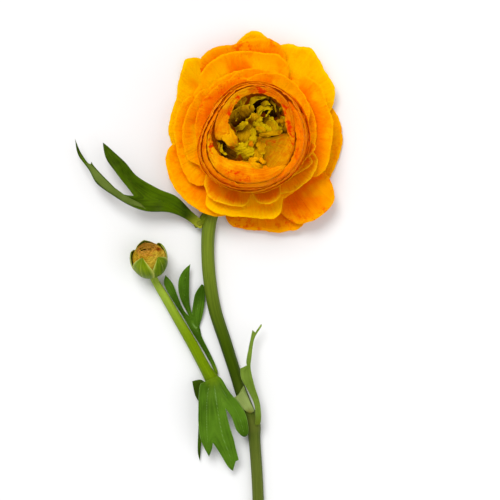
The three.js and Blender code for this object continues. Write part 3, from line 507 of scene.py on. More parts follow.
LEAVES_WITHOUT_NODE = ("upper_leaf_turn",)
LEAF_SLOTS = {
    "leaf_dark": "dark_leaf", "lobe_dark": "dark_leaf", "leaf_under": "dark_leaf",
    "leaf_green": "leaf", "leaf_pale": "leaf", "sheath_pale": "sheath",
}

SEPAL_COUNT = 5

# The receptacle's outline as radius and height round the bloom's axis.
RECEPTACLE = [
    (0.05, 10.9), (3.5, 10.9), (4.3, 10.1), (4.7, 10.6), (4.6, 12.0), (3.9, 13.8), (3.3, 16.0),
    (2.7, 18.0), (2.1, 20.0), (2.0, 21.4), (3.2, 22.2), (3.4, 23.4), (2.4, 25.0), (0.05, 25.8),
]

BUD_CENTRE = Vector((-23.7, 14.4, 8.2))
BUD_AXIS = Vector((-0.1, 0.64, 0.76)).normalized()

# The bud's sepals: the direction round the axis and how near to it the tip reaches, in degrees.
BUD_SEPALS = [(248, 36), (320, 46), (36, 52), (106, 54), (174, 58)]

# The bud's petals from the inside out: the direction round the axis, the rim's angle from it in
# degrees, and how far they lie under the bud's surface.
BUD_PETALS = [
    (84, -40, 1.35), (84, -8, 1.25), (262, 2, 1.15), (100, 1, 1.05), (66, 7, 0.92),
    (92, 13, 0.84), (96, 19, 0.76), (80, 26, 0.68), (176, 28, 0.56), (4, 28, 0.56),
    (250, 24, 0.5), (236, 18, 0.4), (304, 14, 0.26),
]

# Random draws: the seed before the first petal of each kind, what is added to it for the waves
# of a rim and of a cup petal's top, and how far each seed moves the soft noise.
INNER_SEED = 120
COLLAR_SEED = 160
CUP_SEED = 30
FOLD_SEED = 80
EYE_SEED = 50
FRILL_SEED = 50
TOP_SEED = 9
SEED_SHIFT = (7.3, 3.1, 5.7)

# Grids of the blades: points across and points along. Wide petals have more points across: a
# cup petal so many for each degree of its half width, an open one for each degree and row.
OPEN_COLUMNS, OPEN_ROWS, OPEN_DENSITY = 36, 31, 0.045
INNER_ROWS = 21
CUP_COLUMNS, CUP_ROWS, CUP_DENSITY = 48, 41, 1.2
COLLAR_GRID = (45, 25)
EYE_GRID = (27, 37)
BLOOM_SEPAL_GRID = (25, 33)
BUD_SEPAL_GRID = (33, 41)
BUD_PETAL_GRID = (39, 43)
RECEPTACLE_GRID = (48, 80)
LEAF_MARGIN_SPACING = 0.45
LEAF_SPACING = 0.62
LEAF_CLEARANCE = 0.45  # from the inner points to the margin, as a share of the spacing
ROW_SPACING = 0.866  # from row to row in an even net of triangles, as a share of the spacing
RIB_POINTS = 40
FOLD_POINTS = 12

# How leaves bend: the distance between rib and margin where the fold is full, the power by which
# it rises from the rib and how low it starts, and the waves of the margin in each millimetre.
LEAF_FULL_BREADTH = 3
LEAF_FOLD_POWER, LEAF_FOLD_START = 1.3, 0.4
LEAF_WAVES = 0.55

# Powers that crowd the rows of a petal towards its rim.
OPEN_CROWDING = 0.9
CUP_CROWDING = 0.85

# Reaches over which the corners of a list of pairs are rounded: degrees for petals, and
# millimetres for the heights of leaves.
SMOOTHING_STEPS = 7
OPEN_SMOOTHING = 1.6
CUP_SMOOTHING = 3.0
LEAF_SMOOTHING = 4.0
HALVINGS = 24  # steps of the search for a radius on a layer's outline

# Sine waves of the petals: how many go round the flower, or how closely they follow each other
# on a blade of the eye or the bud. Then their heights.
OPEN_NOTCHES = (37, 53, 81, 119)
OPEN_FRILLS = (9, 17, 26)
COLLAR_NOTCHES = (13, 23, 41)
CUP_NOTCHES = (13, 23, 41, 53)
CUP_TOP_WAVES = (5, 9)
CUP_FRILLS = (7, 13, 23, 37)
EYE_NOTCHES = (7, 13, 29)
EYE_WAVES = (1, 2, 4)
BUD_NOTCHES = (3, 7, 13, 23)
BUD_WAVES = (2, 5)
CUP_NOTCH_DEPTH = 0.3
EYE_WAVE_HEIGHT = 0.3
BUD_NOTCH_DEGREES = 2.5
BUD_WAVE_HEIGHT = 0.05

# Sizes of the soft noise that bends the petals, and its height in the cup.
OPEN_BILLOW_SIZE = 9.0
CUP_BILLOW_SIZE = 5.0
EYE_BILLOW_SIZE = 1.7
CUP_BILLOW_HEIGHT = 0.3
EYE_BROAD = 1.9  # the half width at which a curled petal crumples half as much
EYE_TIP_LOSS = 0.7  # share of the width that a curled petal loses at its tip

# The shape of a petal: what is left of its thickness at the edge, what it loses along its length,
# and the shares of its length outside which its hollows grow no shallower.
EDGE_THICKNESS = 0.35
THINNING = 0.35
HOLLOW_RANGE = (0.2, 0.9)
WIDENING = 0.7  # power by which a petal widens from its claw
COLLAR_WIDENING = 0.5
INNER_GAP = 0.4  # how far the hidden rims stay inside the cup's outline

# A collar petal from its foot to its tip: the share of the cup's outline and of how far out the
# petal stands, a height, and how much of the tip's own height takes its place. Then how far the
# tip's sides drop and the power of that drop, and its share of the ruffle.
COLLAR_PATH = [
    (0.3, 0, 16.6, 0), (0.72, 0, 17.0, 0), (0.97, 0.6, 18.4, 0), (1, 0.55, 18.4, 0.6),
    (1, 1, 18.4, 1),
]
COLLAR_DROP, COLLAR_DROP_POWER = 8.0, 2.2
COLLAR_RUFFLE = 0.5

# The foot of a cup petal under its wall: a radius, a share of the wall's radius, and the height
# of the outermost petal, with the lift from one petal's order to the next.
CUP_FOOT = [(3.2, 0, 17.6), (0, 0.45, 17.0), (0, 0.84, 19.0)]
CUP_LIFT = 0.65
# How far its sides are tucked down at the crown and at the rim, and the least heights left there.
CUP_TUCK, CUP_TUCK_POWER = 2.6, 9
TOP_TUCK = 1.3
LEAST_CROWN = 23.0
LEAST_TOP = 24.2
# The two wall points under the crown: how far under it, and the heights they keep to.
LOWER_WALL, LOWER_WALL_RANGE = 4.0, (21.2, 25.0)
UPPER_WALL, UPPER_WALL_LEAST = 2.0, 22.2
CROWN_TURN = 0.28  # how far the crown has turned in from the wall to the rim
CORNER_LOSS = 0.1  # share by which a cup petal is shorter at its corners

# The share of a stalk's radius that its ridges swing about, and the ridges: their height as a
# share, how many go round, how they turn with each millimetre of length, and where they start.
STALK_CORE = 0.974
STALK_RIDGES = [(0.018, 9, 0.004, 0), (0.008, 17, 0, 1)]
CUT_DEPTH = 4.0  # how far beyond its ends a stalk's cut faces count, for their colour

# The bloom's sepals: the direction of the first, the half width in degrees, the share of the bowl
# that they cover and their length. Then the bud's: the angle of the foot from the bud's axis, the
# half width in degrees, the length, and the shares of the width that are left along it.
SEPAL_START = 281
BLOOM_SEPAL_HALF = 27
BLOOM_SEPAL_REACH = 0.42
BLOOM_SEPAL_LENGTH = 15
BUD_SEPAL_FOOT = 162
BUD_SEPAL_HALF = 40.5
BUD_SEPAL_LENGTH = 20
BUD_SEPAL_TAPER = ((0, 0.3, 0.55, 0.7, 0.86, 0.95, 1), (1, 1, 1, 0.9, 0.6, 0.3, 0.03))

# The bud's petals: foot and half width in degrees, droop of the rim at the sides, thickness, and
# how far the very rim stands off.
BUD_PETAL_FOOT = 124
BUD_PETAL_HALF = 74
BUD_PETAL_DROOP = 12
BUD_PETAL_THICKNESS = 0.2
BUD_RIM_LIFT = 0.4

# The bud's surface: angle from its axis in degrees, and radius.
BUD_PROFILE = [(0, 7.21), (15.6, 7.27), (36.4, 7.31), (61, 7.21), (86.6, 7.01), (111, 6.98),
               (140, 7.15), (164, 7.7), (180, 7.56)]

# The stage, in metres
FLOOR_REACH = 8.0
FLOOR_COLOUR = (228, 228, 228)
WORLD_STRENGTH = 0.82
HORIZON_COLOUR = (0.93, 0.93, 0.93, 1.0)
LAMPS = [
    ("key_lamp", (-0.35, 0.75, 1.3), 2.1, 30),
    ("fill_lamp", (0.9, -0.3, 1.0), 0.6, 60),
]
CAMERA_SENSOR = 36
CAMERA_LENS = 270
CAMERA_PLACE = (0.0164, 0.0182, 1.5)


# Curves and numbers

def spline(knots, share):
    """Points of a smooth curve through the knots, at shares of its length counted in knots."""
    knots = np.asarray(knots, float)
    place = np.clip(share, 0, 1) * (len(knots) - 1)
    first = np.minimum(place.astype(int), len(knots) - 2)
    w = (place - first)[..., None]
    before = knots[np.maximum(first - 1, 0)]
    a = knots[first]
    b = knots[first + 1]
    after = knots[np.minimum(first + 2, len(knots) - 1)]
    leave = (b - before) / 2
    arrive = (after - a) / 2
    cubic = 2 * a - 2 * b + leave + arrive
    square = -3 * a + 3 * b - 2 * leave - arrive
    return cubic * w**3 + square * w**2 + leave * w + a


def smooth_reading(pairs, at, reach):
    """The value of a list of pairs, with its corners rounded over a reach."""
    keys, values = zip(*pairs)
    shifts = np.linspace(-reach, reach, SMOOTHING_STEPS)
    return np.mean([np.interp(at + shift, keys, values) for shift in shifts], axis=0)


def middle_and_half(pairs):
    """The middle and the half width of a list of pairs that start with angles."""
    first, last = pairs[0][0], pairs[-1][0]
    return (first + last) / 2, (last - first) / 2


def ripple(at, seed, waves, height=1.0):
    """A sum of sine waves of mixed phase, of the given height at most."""
    dice = np.random.default_rng(seed)
    total = np.zeros_like(at)
    for count in waves:
        total += np.sin(count * at + dice.uniform(0, 2 * math.pi))
    return height * total / len(waves)


def billow(points, seed, size):
    """Soft noise over points in millimetres, one value each, between about -1 and 1."""
    flat = points.reshape(-1, 3)
    shift = Vector([seed * step for step in SEED_SHIFT])
    values = [noise.noise(Vector(p) / size + shift) for p in flat]
    return np.array(values).reshape(points.shape[:-1])


# Meshes

def new_piece(name, vertices, faces, place):
    """An object from vertices in millimetres, with the place of each vertex on its blade."""
    mesh = bpy.data.meshes.new(name)
    mesh.from_pydata((np.asarray(vertices) * MM).tolist(), [], faces)
    mesh.attributes.new("place", "FLOAT_VECTOR", "POINT")
    mesh.attributes["place"].data.foreach_set("vector", np.asarray(place, float).ravel())
    mesh.shade_smooth()
    mesh.update()
    piece = bpy.data.objects.new(name, mesh)
    bpy.context.scene.collection.objects.link(piece)
    return piece


def finish_piece(piece, finish, slot, *nodes):
    """Gives a piece its material and its body, and hides the nodes that it takes the place of. The
    slot is not used.
    """
    piece.data.materials.append(finish_material(bpy.context.scene, finish))
    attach(piece, BODY)
    if nodes:
        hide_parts(*nodes)


def blade_grid(columns, rows, crowding=1.0):
    """Places across a blade from -1 to 1 and along it from 0 to 1, as a row and a column."""
    across = np.linspace(-1, 1, columns)[None, :]
    along = np.linspace(0, 1, rows)[:, None] ** crowding
    return across, along


def grid_normals(points):
    """The direction that a grid of points faces at each of them."""
    along = np.gradient(points, axis=0)
    across = np.gradient(points, axis=1)
    normal = np.cross(across, along)
    length = np.linalg.norm(normal, axis=-1, keepdims=True)
    return normal / np.maximum(length, TINY)


def ring_faces(rows, sides):
    """The faces between rings of points, and the first and the last ring's indices."""
    index = np.arange(rows * sides).reshape(rows, sides)
    following = np.roll(index, -1, axis=1)
    quads = np.stack([index[:-1], following[:-1], following[1:], index[1:]], -1)
    return quads.reshape(-1, 4).tolist(), index[0].tolist(), index[-1].tolist()


def sheet_piece(name, points, thickness, place):
    """A closed thin blade from a grid of points, rows by columns, with a thickness at each."""
    rows, columns = points.shape[:2]
    offset = grid_normals(points) * (thickness / 2)[..., None]
    vertices = np.concatenate([(points + offset).reshape(-1, 3), (points - offset).reshape(-1, 3)])
    under = rows * columns
    index = np.arange(under).reshape(rows, columns)
    quads = np.stack([index[:-1, :-1], index[:-1, 1:], index[1:, 1:], index[1:, :-1]], -1)
    top = quads.reshape(-1, 4)
    faces = top.tolist() + (top[:, ::-1] + under).tolist()
    loop = np.concatenate([index[0, :-1], index[:-1, -1], index[-1, :0:-1], index[:0:-1, 0]])
    following = np.roll(loop, -1)
    rim = np.stack([loop, loop + under, following + under, following], -1)
    faces += rim.tolist()
    both = np.concatenate([place.reshape(-1, 3), place.reshape(-1, 3)])
    return new_piece(name, vertices, faces, both)


def stalk_ridges(turn, length):
    """Fine ridges round a stalk, as a share of its radius that is at most 1."""
    share = STALK_CORE
    for height, count, twist, start in STALK_RIDGES:
        share = share + height * np.sin(count * turn + twist * length + start)
    return share


def tube_piece(name, path, sides, rows):
    """A solid ridged stalk along a path of x, y, z and radius, closed with flat ends."""
    knots = np.array(path)
    share = np.linspace(0, 1, rows + 1)
    centre = spline(knots, share)
    tangent = np.gradient(centre[:, :3], axis=0)
    tangent /= np.linalg.norm(tangent, axis=1, keepdims=True)
    up = np.cross([1.0, 0.0, 0.0], tangent)
    up /= np.linalg.norm(up, axis=1, keepdims=True)
    side = np.cross(tangent, up)
    turn = np.linspace(0, 2 * math.pi, sides, endpoint=False)
    steps = np.linalg.norm(np.diff(centre[:, :3], axis=0), axis=1)
    length = np.concatenate([[0], np.cumsum(steps)])
    swell = stalk_ridges(turn[None, :], length[:, None])
    ring = side[:, None] * np.cos(turn)[None, :, None] + up[:, None] * np.sin(turn)[None, :, None]
    body = centre[:, None, :3] + ring * (centre[:, 3, None] * swell)[..., None]
    vertices = np.concatenate([body.reshape(-1, 3), centre[:1, :3], centre[-1:, :3]])
    faces, first, last = ring_faces(rows + 1, sides)
    start, end = last[-1] + 1, last[-1] + 2
    faces += [(start, b, a) for a, b in zip(first, first[1:] + first[:1])]
    faces += [(end, a, b) for a, b in zip(last, last[1:] + last[:1])]
    place = np.zeros((rows + 1, sides, 3))
    place[..., 0] = turn / (2 * math.pi)
    place[..., 1] = length[:, None]
    ends = np.array([[0.5, -CUT_DEPTH, 1.0], [0.5, length[-1] + CUT_DEPTH, 1.0]])
    return new_piece(name, vertices, faces, np.concatenate([place.reshape(-1, 3), ends]))


# The bloom

BOWL_KEYS = np.array([layer for layer, _, _ in LAYERS], float)


def bowl_at(layer, share):
    """Radius, height and middle of the bowl at any layer, between and beyond the listed ones."""
    layer, share = np.broadcast_arrays(np.asarray(layer, float), np.asarray(share, float))
    inner = np.clip(np.searchsorted(BOWL_KEYS, layer), 1, len(LAYERS) - 1)
    mix = (layer - BOWL_KEYS[inner - 1]) / (BOWL_KEYS[inner] - BOWL_KEYS[inner - 1])
    readings = []
    for _, middle, outline in LAYERS:
        point = spline(outline, share)
        lean = np.minimum(1, 2 * share)
        readings.append(np.stack([point[..., 0], point[..., 1], lean * middle[0],
                                  lean * middle[1]], -1))
    readings = np.stack(readings)
    below = np.take_along_axis(readings, (inner - 1)[None, ..., None], 0)[0]
    above = np.take_along_axis(readings, inner[None, ..., None], 0)[0]
    found = below + (above - below) * mix[..., None]
    return found[..., 0], found[..., 1], found[..., 2:]


def bloom_points(layer, degrees, share):
    """Points on the bowl of a layer, at directions round the bloom and shares of its outline."""
    radius, height, middle = bowl_at(layer, share)
    angle = np.radians(degrees)
    x = BLOOM_AXIS[0] + middle[..., 0] + radius * np.cos(angle)
    y = BLOOM_AXIS[1] + middle[..., 1] + radius * np.sin(angle)
    return np.stack([x, y, height + 0 * x], -1)


def cup_outline(degrees):
    """The radius of the closed cup's outline in a direction."""
    return np.interp(degrees % 360, *zip(*CUP_OUTLINE))


def cup_points(path, angle, share):
    """Points round the cup's middle, from a path of radii and heights for each column."""
    knots = np.array([np.concatenate(point) for point in path])
    column = np.arange(angle.shape[1])
    found = spline(knots, share.ravel()).reshape(*share.shape, -1)
    radius = found[:, column, column]
    height = found[:, column, len(column) + column]
    x = CUP_MIDDLE[0] + radius * np.cos(angle)
    y = CUP_MIDDLE[1] + radius * np.sin(angle)
    return np.stack([x, y, height], -1)


def share_at_radius(layer, radius):
    """How far along a layer's outline a radius is reached."""
    low = np.zeros_like(radius)
    high = np.ones_like(radius)
    for _ in range(HALVINGS):
        half = (low + high) / 2
        short = bowl_at(layer, half)[0] < radius
        low = np.where(short, half, low)
        high = np.where(short, high, half)
    return low


def petal_thickness(u, v, full):
    """Full at the claw and thin towards the rim and the sides."""
    edge = np.clip(np.minimum(1 - np.abs(u) ** 8, 1 - v**10), 0, 1)
    return full * (EDGE_THICKNESS + (1 - EDGE_THICKNESS) * edge) * (1 - THINNING * v)


def blade_place(u, v, seed):
    """Across, along and seed of each point, which the paints read."""
    return np.stack([u + 0 * v, v + 0 * u, np.full_like(u + v, seed)], -1)


def petal_piece(name, points, u, v, seed, sizes):
    """A petal from its grid of points, thin at the rim and the sides and clear of the floor."""
    thickness = petal_thickness(u, v, sizes["petal"])
    points[..., 2] = np.maximum(points[..., 2], thickness)
    return sheet_piece(name, points, thickness, blade_place(u, v, seed))


def petal_width(v, power=WIDENING):
    """The width of a petal along its length, as a share of its widest."""
    return CLAW_SHARE + (1 - CLAW_SHARE) * v**power


def open_petal(name, layer, rim, seed, sizes, rows=OPEN_ROWS):
    """A petal that lies on the bowl of its layer and reaches out to its rim."""
    middle, half = middle_and_half(rim)
    columns = max(OPEN_COLUMNS, int(half * OPEN_DENSITY * rows))
    u, v = blade_grid(columns + 1, rows, OPEN_CROWDING)
    radius = smooth_reading(rim, middle + u[0] * half, OPEN_SMOOTHING)
    notch = ripple(np.radians(u[0] * half), seed, OPEN_NOTCHES, sizes["fray"])
    end = share_at_radius(layer, radius + notch)[None, :]
    turn = u * half * petal_width(v)
    points = bloom_points(layer, middle + turn, end * v)
    normal = grid_normals(points)
    frill = ripple(np.radians(turn), seed + FRILL_SEED, OPEN_FRILLS, sizes["ruffle"]) * v**5
    hollow = np.sin(np.pi * np.clip(v, *HOLLOW_RANGE))
    swell = billow(points, seed, OPEN_BILLOW_SIZE) * sizes["billow"] * hollow
    points = points + normal * (frill + swell)[..., None]
    return petal_piece(name, points, u, v, seed, sizes)


def inner_rim(middle, reach):
    """The rim of a petal that fills the flower, which without a reach stays under the cup."""
    rim = []
    for step, share in INNER_RIM:
        full = reach or cup_outline(middle + step) - INNER_GAP
        rim.append((middle + step, full * share))
    return rim


def collar_petal(name, middle, half, out, tip, seed, sizes):
    """A petal that stands against the wall of the closed cup."""
    u, v = blade_grid(*COLLAR_GRID)
    turn = np.radians(middle + u[0] * half)
    outline = cup_outline(np.degrees(turn))
    crest = tip - COLLAR_DROP * np.abs(u[0]) ** COLLAR_DROP_POWER
    crest = crest + ripple(turn, seed, COLLAR_NOTCHES, CUP_NOTCH_DEPTH)
    path = []
    for share, away, height, rise in COLLAR_PATH:
        path.append((share * outline + away * out, (1 - rise) * height + rise * crest))
    angle = np.radians(middle + u * half * petal_width(v, COLLAR_WIDENING))
    points = cup_points(path, angle, v + 0 * u)
    ruffle = COLLAR_RUFFLE * sizes["ruffle"]
    frill = ripple(angle, seed + FRILL_SEED, OPEN_FRILLS, ruffle) * v**5
    points = points + grid_normals(points) * frill[..., None]
    return petal_piece(name, points, u, v, seed, sizes)


def cup_petal(name, petal, seed, sizes):
    """A petal that rises along the wall of the cup and turns in over its crown to the rim."""
    middle, half = middle_and_half(petal["rim"])
    u, v = blade_grid(max(CUP_COLUMNS, int(half * CUP_DENSITY)), CUP_ROWS, CUP_CROWDING)
    turn = middle + u[0] * half
    notch = ripple(np.radians(turn), seed, CUP_NOTCHES, CUP_NOTCH_DEPTH)
    wave = ripple(np.radians(turn), seed + TOP_SEED, CUP_TOP_WAVES, CUP_NOTCH_DEPTH)
    wall = smooth_reading(petal["wall"], turn, CUP_SMOOTHING)
    rim = smooth_reading(petal["rim"], turn, CUP_SMOOTHING) + notch
    tuck = CUP_TUCK * np.abs(u[0]) ** CUP_TUCK_POWER
    crown = np.maximum(petal["crown"] - tuck, LEAST_CROWN)
    top = np.maximum(petal["top"] - TOP_TUCK * tuck + wave, LEAST_TOP)
    lift = CUP_LIFT * petal["order"]
    path = [(radius + share * wall, height + lift + 0 * wall) for radius, share, height in CUP_FOOT]
    path += [
        (wall, np.clip(crown - LOWER_WALL, *LOWER_WALL_RANGE)),
        (wall, np.maximum(crown - UPPER_WALL, UPPER_WALL_LEAST)),
        ((1 - CROWN_TURN) * wall + CROWN_TURN * rim, crown),
        (rim, top),
    ]
    angle = np.radians(middle + u * half * petal_width(v))
    points = cup_points(path, angle, v * (1 - CORNER_LOSS * np.abs(u) ** 8))
    normal = grid_normals(points)
    frill = ripple(angle, seed + FRILL_SEED, CUP_FRILLS, sizes["cup_ruffle"]) * v**4
    swell = billow(points, seed, CUP_BILLOW_SIZE) * petal.get("swell", CUP_BILLOW_HEIGHT) * v
    points = points + normal * (frill + swell)[..., None]
    return petal_piece(name, points, u, v, seed, sizes)


def cup_fold(petal, reach, lift, first, last):
    """A narrower copy of a cup petal that lies a little over it."""
    angles = np.linspace(first, last, FOLD_POINTS)
    wall = np.interp(angles, *zip(*petal["wall"]))
    rim = np.interp(angles, *zip(*petal["rim"]))
    inner = wall + (rim - wall) * reach
    copy = dict(petal, crown=petal["crown"] + lift, top=petal["top"] + lift)
    copy["wall"] = list(zip(angles, wall))
    copy["rim"] = list(zip(angles, inner))
    return copy


def curled_petal(name, spine, widths, across, rise, roll, seed, sizes):
    """A small crumpled blade along a spine, with its sides rolled down."""
    u, v = blade_grid(*EYE_GRID)
    along = v[:, 0]
    centre = spline(np.array(spine), along) + np.array([*CUP_MIDDLE, 0])
    half = spline(np.array(widths, float)[:, None], along)[:, 0] / 2
    taper = 1 - EYE_TIP_LOSS * along**10
    half = (half * taper * (1 + ripple(along, seed, EYE_NOTCHES, sizes["fray"])))[:, None]
    across, rise = math.radians(across), math.radians(rise)
    level = math.cos(rise)
    side = np.array([math.cos(across) * level, math.sin(across) * level, math.sin(rise)])
    points = centre[:, None] + side * (u * half)[..., None]
    points[..., 2] -= roll * u**2 * np.sin(np.pi * np.minimum(1, 0.2 + 0.8 * v))
    wobble = ripple(u * 2.6 + 4 * v, seed, EYE_WAVES, EYE_WAVE_HEIGHT) * np.minimum(1, half / 2)
    crumple = billow(points, seed, EYE_BILLOW_SIZE) * sizes["crumple"]
    crumple = crumple / (1 + (half / EYE_BROAD) ** 2)
    points = points + grid_normals(points) * (wobble + crumple)[..., None]
    return petal_piece(name, points, u, v, seed, sizes)


def bloom_sepal(name, number, sizes):
    """A pointed sepal that lies under the open petals."""
    u, v = blade_grid(*BLOOM_SEPAL_GRID)
    half = BLOOM_SEPAL_HALF * (0.55 + 0.45 * np.sin(np.pi * v)) * (1 - 0.75 * v**4)
    middle = SEPAL_START + 360 / SEPAL_COUNT * (number - 1)
    points = bloom_points(-1, middle + u * half, BLOOM_SEPAL_REACH * v + 0 * u)
    thickness = sizes["sepal"] * (1 - 0.6 * np.abs(u) ** 4) * (1 - 0.5 * v**6)
    place = blade_place(np.abs(u), v * BLOOM_SEPAL_LENGTH, number - 1)
    return sheet_piece(name, points, thickness, place)


def receptacle_piece(name):
    """The knob in the middle of the bloom, turned round its axis."""
    sides, rows = RECEPTACLE_GRID
    outline = np.array(RECEPTACLE)
    share = np.linspace(0, len(outline) - 1, rows)
    radius, height = (np.interp(share, range(len(outline)), outline[:, k]) for k in range(2))
    turn = np.linspace(0, 2 * math.pi, sides, endpoint=False)
    x = BLOOM_AXIS[0] + radius[:, None] * np.cos(turn)
    y = BLOOM_AXIS[1] + radius[:, None] * np.sin(turn)
    z = height[:, None] + 0 * turn
    faces, first, last = ring_faces(rows, sides)
    faces += [first[::-1], last]
    place = np.tile((0.5, 0.5, 1.0), (rows * sides, 1))
    return new_piece(name, np.stack([x, y, z], -1).reshape(-1, 3), faces, place)


# Leaves

def rounded_outline(outline, corners, spacing):
    """The outline as close points, smooth except at the corners."""
    points = []
    count = len(outline)
    for i in range(count):
        a, b, c, d = (np.array(outline[(i + k) % count], float) for k in (-1, 0, 1, 2))
        if i in corners:
            a = b
        if (i + 1) % count in corners:
            d = c
        steps = max(2, int(np.linalg.norm(c - b) / spacing))
        share = np.linspace(0, 1, steps, endpoint=False)
        piece = spline(np.array([a, b, c, d]), (1 + share) / 3)
        points.extend(piece)
    return np.array(points)


def distance_to_lines(points, lines):
    """The least distance from each point to any segment of the polylines."""
    best = np.full(len(points), np.inf)
    for line in lines:
        line = np.asarray(line, float)
        for a, b in zip(line[:-1], line[1:]):
            step = b - a
            share = np.clip(((points - a) @ step) / max(step @ step, TINY), 0, 1)
            best = np.minimum(best, np.linalg.norm(points - (a + share[:, None] * step), axis=1))
    return best


def inside_outline(points, outline):
    """Which points lie inside a closed outline, by counting the sides to one hand of them."""
    x, y = points[:, 0], points[:, 1]
    crossings = np.zeros(len(points), bool)
    following = np.roll(outline, -1, axis=0)
    for (ax, ay), (bx, by) in zip(outline, following):
        if ay == by:
            continue
        spans = (ay > y) != (by > y)
        crossings ^= spans & (x < ax + (y - ay) * (bx - ax) / (by - ay))
    return crossings


def leaf_mesh(outline, spacing):
    """Triangles that fill an outline with even points, all turned the same way."""
    low, high = outline.min(0), outline.max(0)
    columns = np.arange(low[0], high[0], spacing)
    rows = np.arange(low[1], high[1], spacing * ROW_SPACING)
    grid = [(x + (k % 2) * spacing / 2, y) for k, y in enumerate(rows) for x in columns]
    grid = np.array(grid)
    grid = grid[inside_outline(grid, outline)]
    closed = np.vstack([outline, outline[:1]])
    grid = grid[distance_to_lines(grid, [closed]) > spacing * LEAF_CLEARANCE]
    corners = [Vector(p) for p in np.vstack([outline, grid])]
    count = len(outline)
    edges = [(i, (i + 1) % count) for i in range(count)]
    found = geometry.delaunay_2d_cdt(corners, edges, [], INSIDE_ONLY, SAME_POINT)
    flat = np.array([tuple(p) for p in found[0]])
    triangles = np.array(found[2])
    a, b, c = (flat[triangles[:, k]] for k in range(3))
    area = np.cross(b - a, c - a)
    triangles[area < 0] = triangles[area < 0][:, ::-1]
    return flat, triangles


def leaf_piece(name, leaf, thickness, seed):
    """A leaf that is arched from its foot, folded along its ribs and thin at its margin."""
    outline = rounded_outline(leaf["outline"], leaf["corners"], LEAF_MARGIN_SPACING)
    flat, triangles = leaf_mesh(outline, LEAF_SPACING)
    ribs = [spline(np.array(rib), np.linspace(0, 1, RIB_POINTS)) for rib in leaf["ribs"]]
    to_rib = distance_to_lines(flat, ribs)
    to_margin = distance_to_lines(flat, [np.vstack([outline, outline[:1]])])
    across = to_rib / np.maximum(to_rib + to_margin, TINY)
    distance = np.linalg.norm(flat - np.array(leaf["foot"]), axis=1)
    height = smooth_reading(leaf["heights"], distance, LEAF_SMOOTHING)
    full = np.minimum(1, (to_rib + to_margin) / LEAF_FULL_BREADTH)
    height += leaf["fold"] * full * (across**LEAF_FOLD_POWER - LEAF_FOLD_START)
    height += leaf["wave"] * across**2 * np.sin(distance * LEAF_WAVES + seed)
    middle = np.column_stack([flat, height])
    a, b, c = (middle[triangles[:, k]] for k in range(3))
    face_normal = np.cross(b - a, c - a)
    normal = np.zeros_like(middle)
    for k in range(3):
        np.add.at(normal, triangles[:, k], face_normal)
    normal /= np.linalg.norm(normal, axis=1, keepdims=True)
    half = thickness * (0.5 - 0.3 * across**4)[:, None]
    vertices = np.vstack([middle + normal * half, middle - normal * half])
    under = len(middle)
    sides = np.vstack([triangles[:, [0, 1]], triangles[:, [1, 2]], triangles[:, [2, 0]]])
    known = {(int(p), int(q)) for p, q in sides}
    border = [(p, q) for p, q in known if (q, p) not in known]
    faces = triangles.tolist() + (triangles[:, ::-1] + under).tolist()
    faces += [(q, p, p + under, q + under) for p, q in sorted(border)]
    place = np.column_stack([across, distance, np.full(under, float(seed))])
    return new_piece(name, vertices, faces, np.vstack([place, place]))


# The bud

def bud_points(polar, turn, gap):
    """Points round the bud's middle: polar and turn in degrees, gap outside its surface."""
    keys, values = zip(*BUD_PROFILE)
    radius = np.interp(polar, keys, values) + gap
    flat = radius * np.sin(np.radians(polar))
    angle = np.radians(turn)
    local = np.stack([flat * np.cos(angle), flat * np.sin(angle),
                      radius * np.cos(np.radians(polar))], -1)
    rotation = np.array(Vector((0, 0, 1)).rotation_difference(BUD_AXIS).to_matrix())
    return local @ rotation.T + np.array(BUD_CENTRE)


def bud_sepal(name, number, sizes):
    """A sepal pressed on the bud, from its foot to its tip."""
    u, v = blade_grid(*BUD_SEPAL_GRID)
    middle, tip = BUD_SEPALS[number - 1]
    polar = BUD_SEPAL_FOOT - (BUD_SEPAL_FOOT - tip) * v
    half = BUD_SEPAL_HALF * np.interp(v, *BUD_SEPAL_TAPER)
    gap = 0.42 - 0.22 * np.abs(u) ** 1.5 + 0.35 * v**6 + 0.12 * u
    points = bud_points(polar + 0 * u, middle + u * half, gap)
    thickness = sizes["sepal"] * (1 - 0.7 * np.abs(u) ** 3) * (1 - 0.5 * v**6)
    place = blade_place(np.abs(u), v * BUD_SEPAL_LENGTH, number - 1)
    return sheet_piece(name, points, thickness, place)


def bud_petal(name, number):
    """One of the overlapping petals that close over the top of the bud."""
    u, v = blade_grid(*BUD_PETAL_GRID)
    middle, rim, depth = BUD_PETALS[number - 1]
    top = rim + BUD_PETAL_DROOP * u**2 + ripple(u, number, BUD_NOTCHES, BUD_NOTCH_DEGREES)
    polar = BUD_PETAL_FOOT + (top - BUD_PETAL_FOOT) * v
    wave = ripple(u * 2 + v, number, BUD_WAVES, BUD_WAVE_HEIGHT)
    gap = -depth + 0.1 * u + wave + BUD_RIM_LIFT * v**18
    points = bud_points(polar, middle + u * BUD_PETAL_HALF, gap)
    thickness = BUD_PETAL_THICKNESS * (1 - 0.5 * v**8) + 0 * u
    return sheet_piece(name, points, thickness, blade_place(u, v, number))


# Shader tools

COLOUR = "NodeSocketColor"
NUMBER = "NodeSocketFloat"
WHITE = (1, 1, 1, 1)
PAINT_OUTPUTS = {"Color": COLOUR, "Roughness": NUMBER, "Height": NUMBER}

# Scales of the noise in the paints: how many spots go into a metre.
BLOTCHES = 75.0
CLOUDS = 110.0
SPECKS = 420.0
PETAL_GRAIN = 900.0
LEAF_CLOUDS = 60.0
LEAF_GRAIN = 1400.0
STEM_SPECKS = 500.0

# How the veins of leaves run: how many go across a half blade, and their breaks in a millimetre.
LEAF_VEINS = 9.0
LEAF_BREAKS = 0.06
STEM_SHADE = (0.5, 0.55, 0.4, 1)


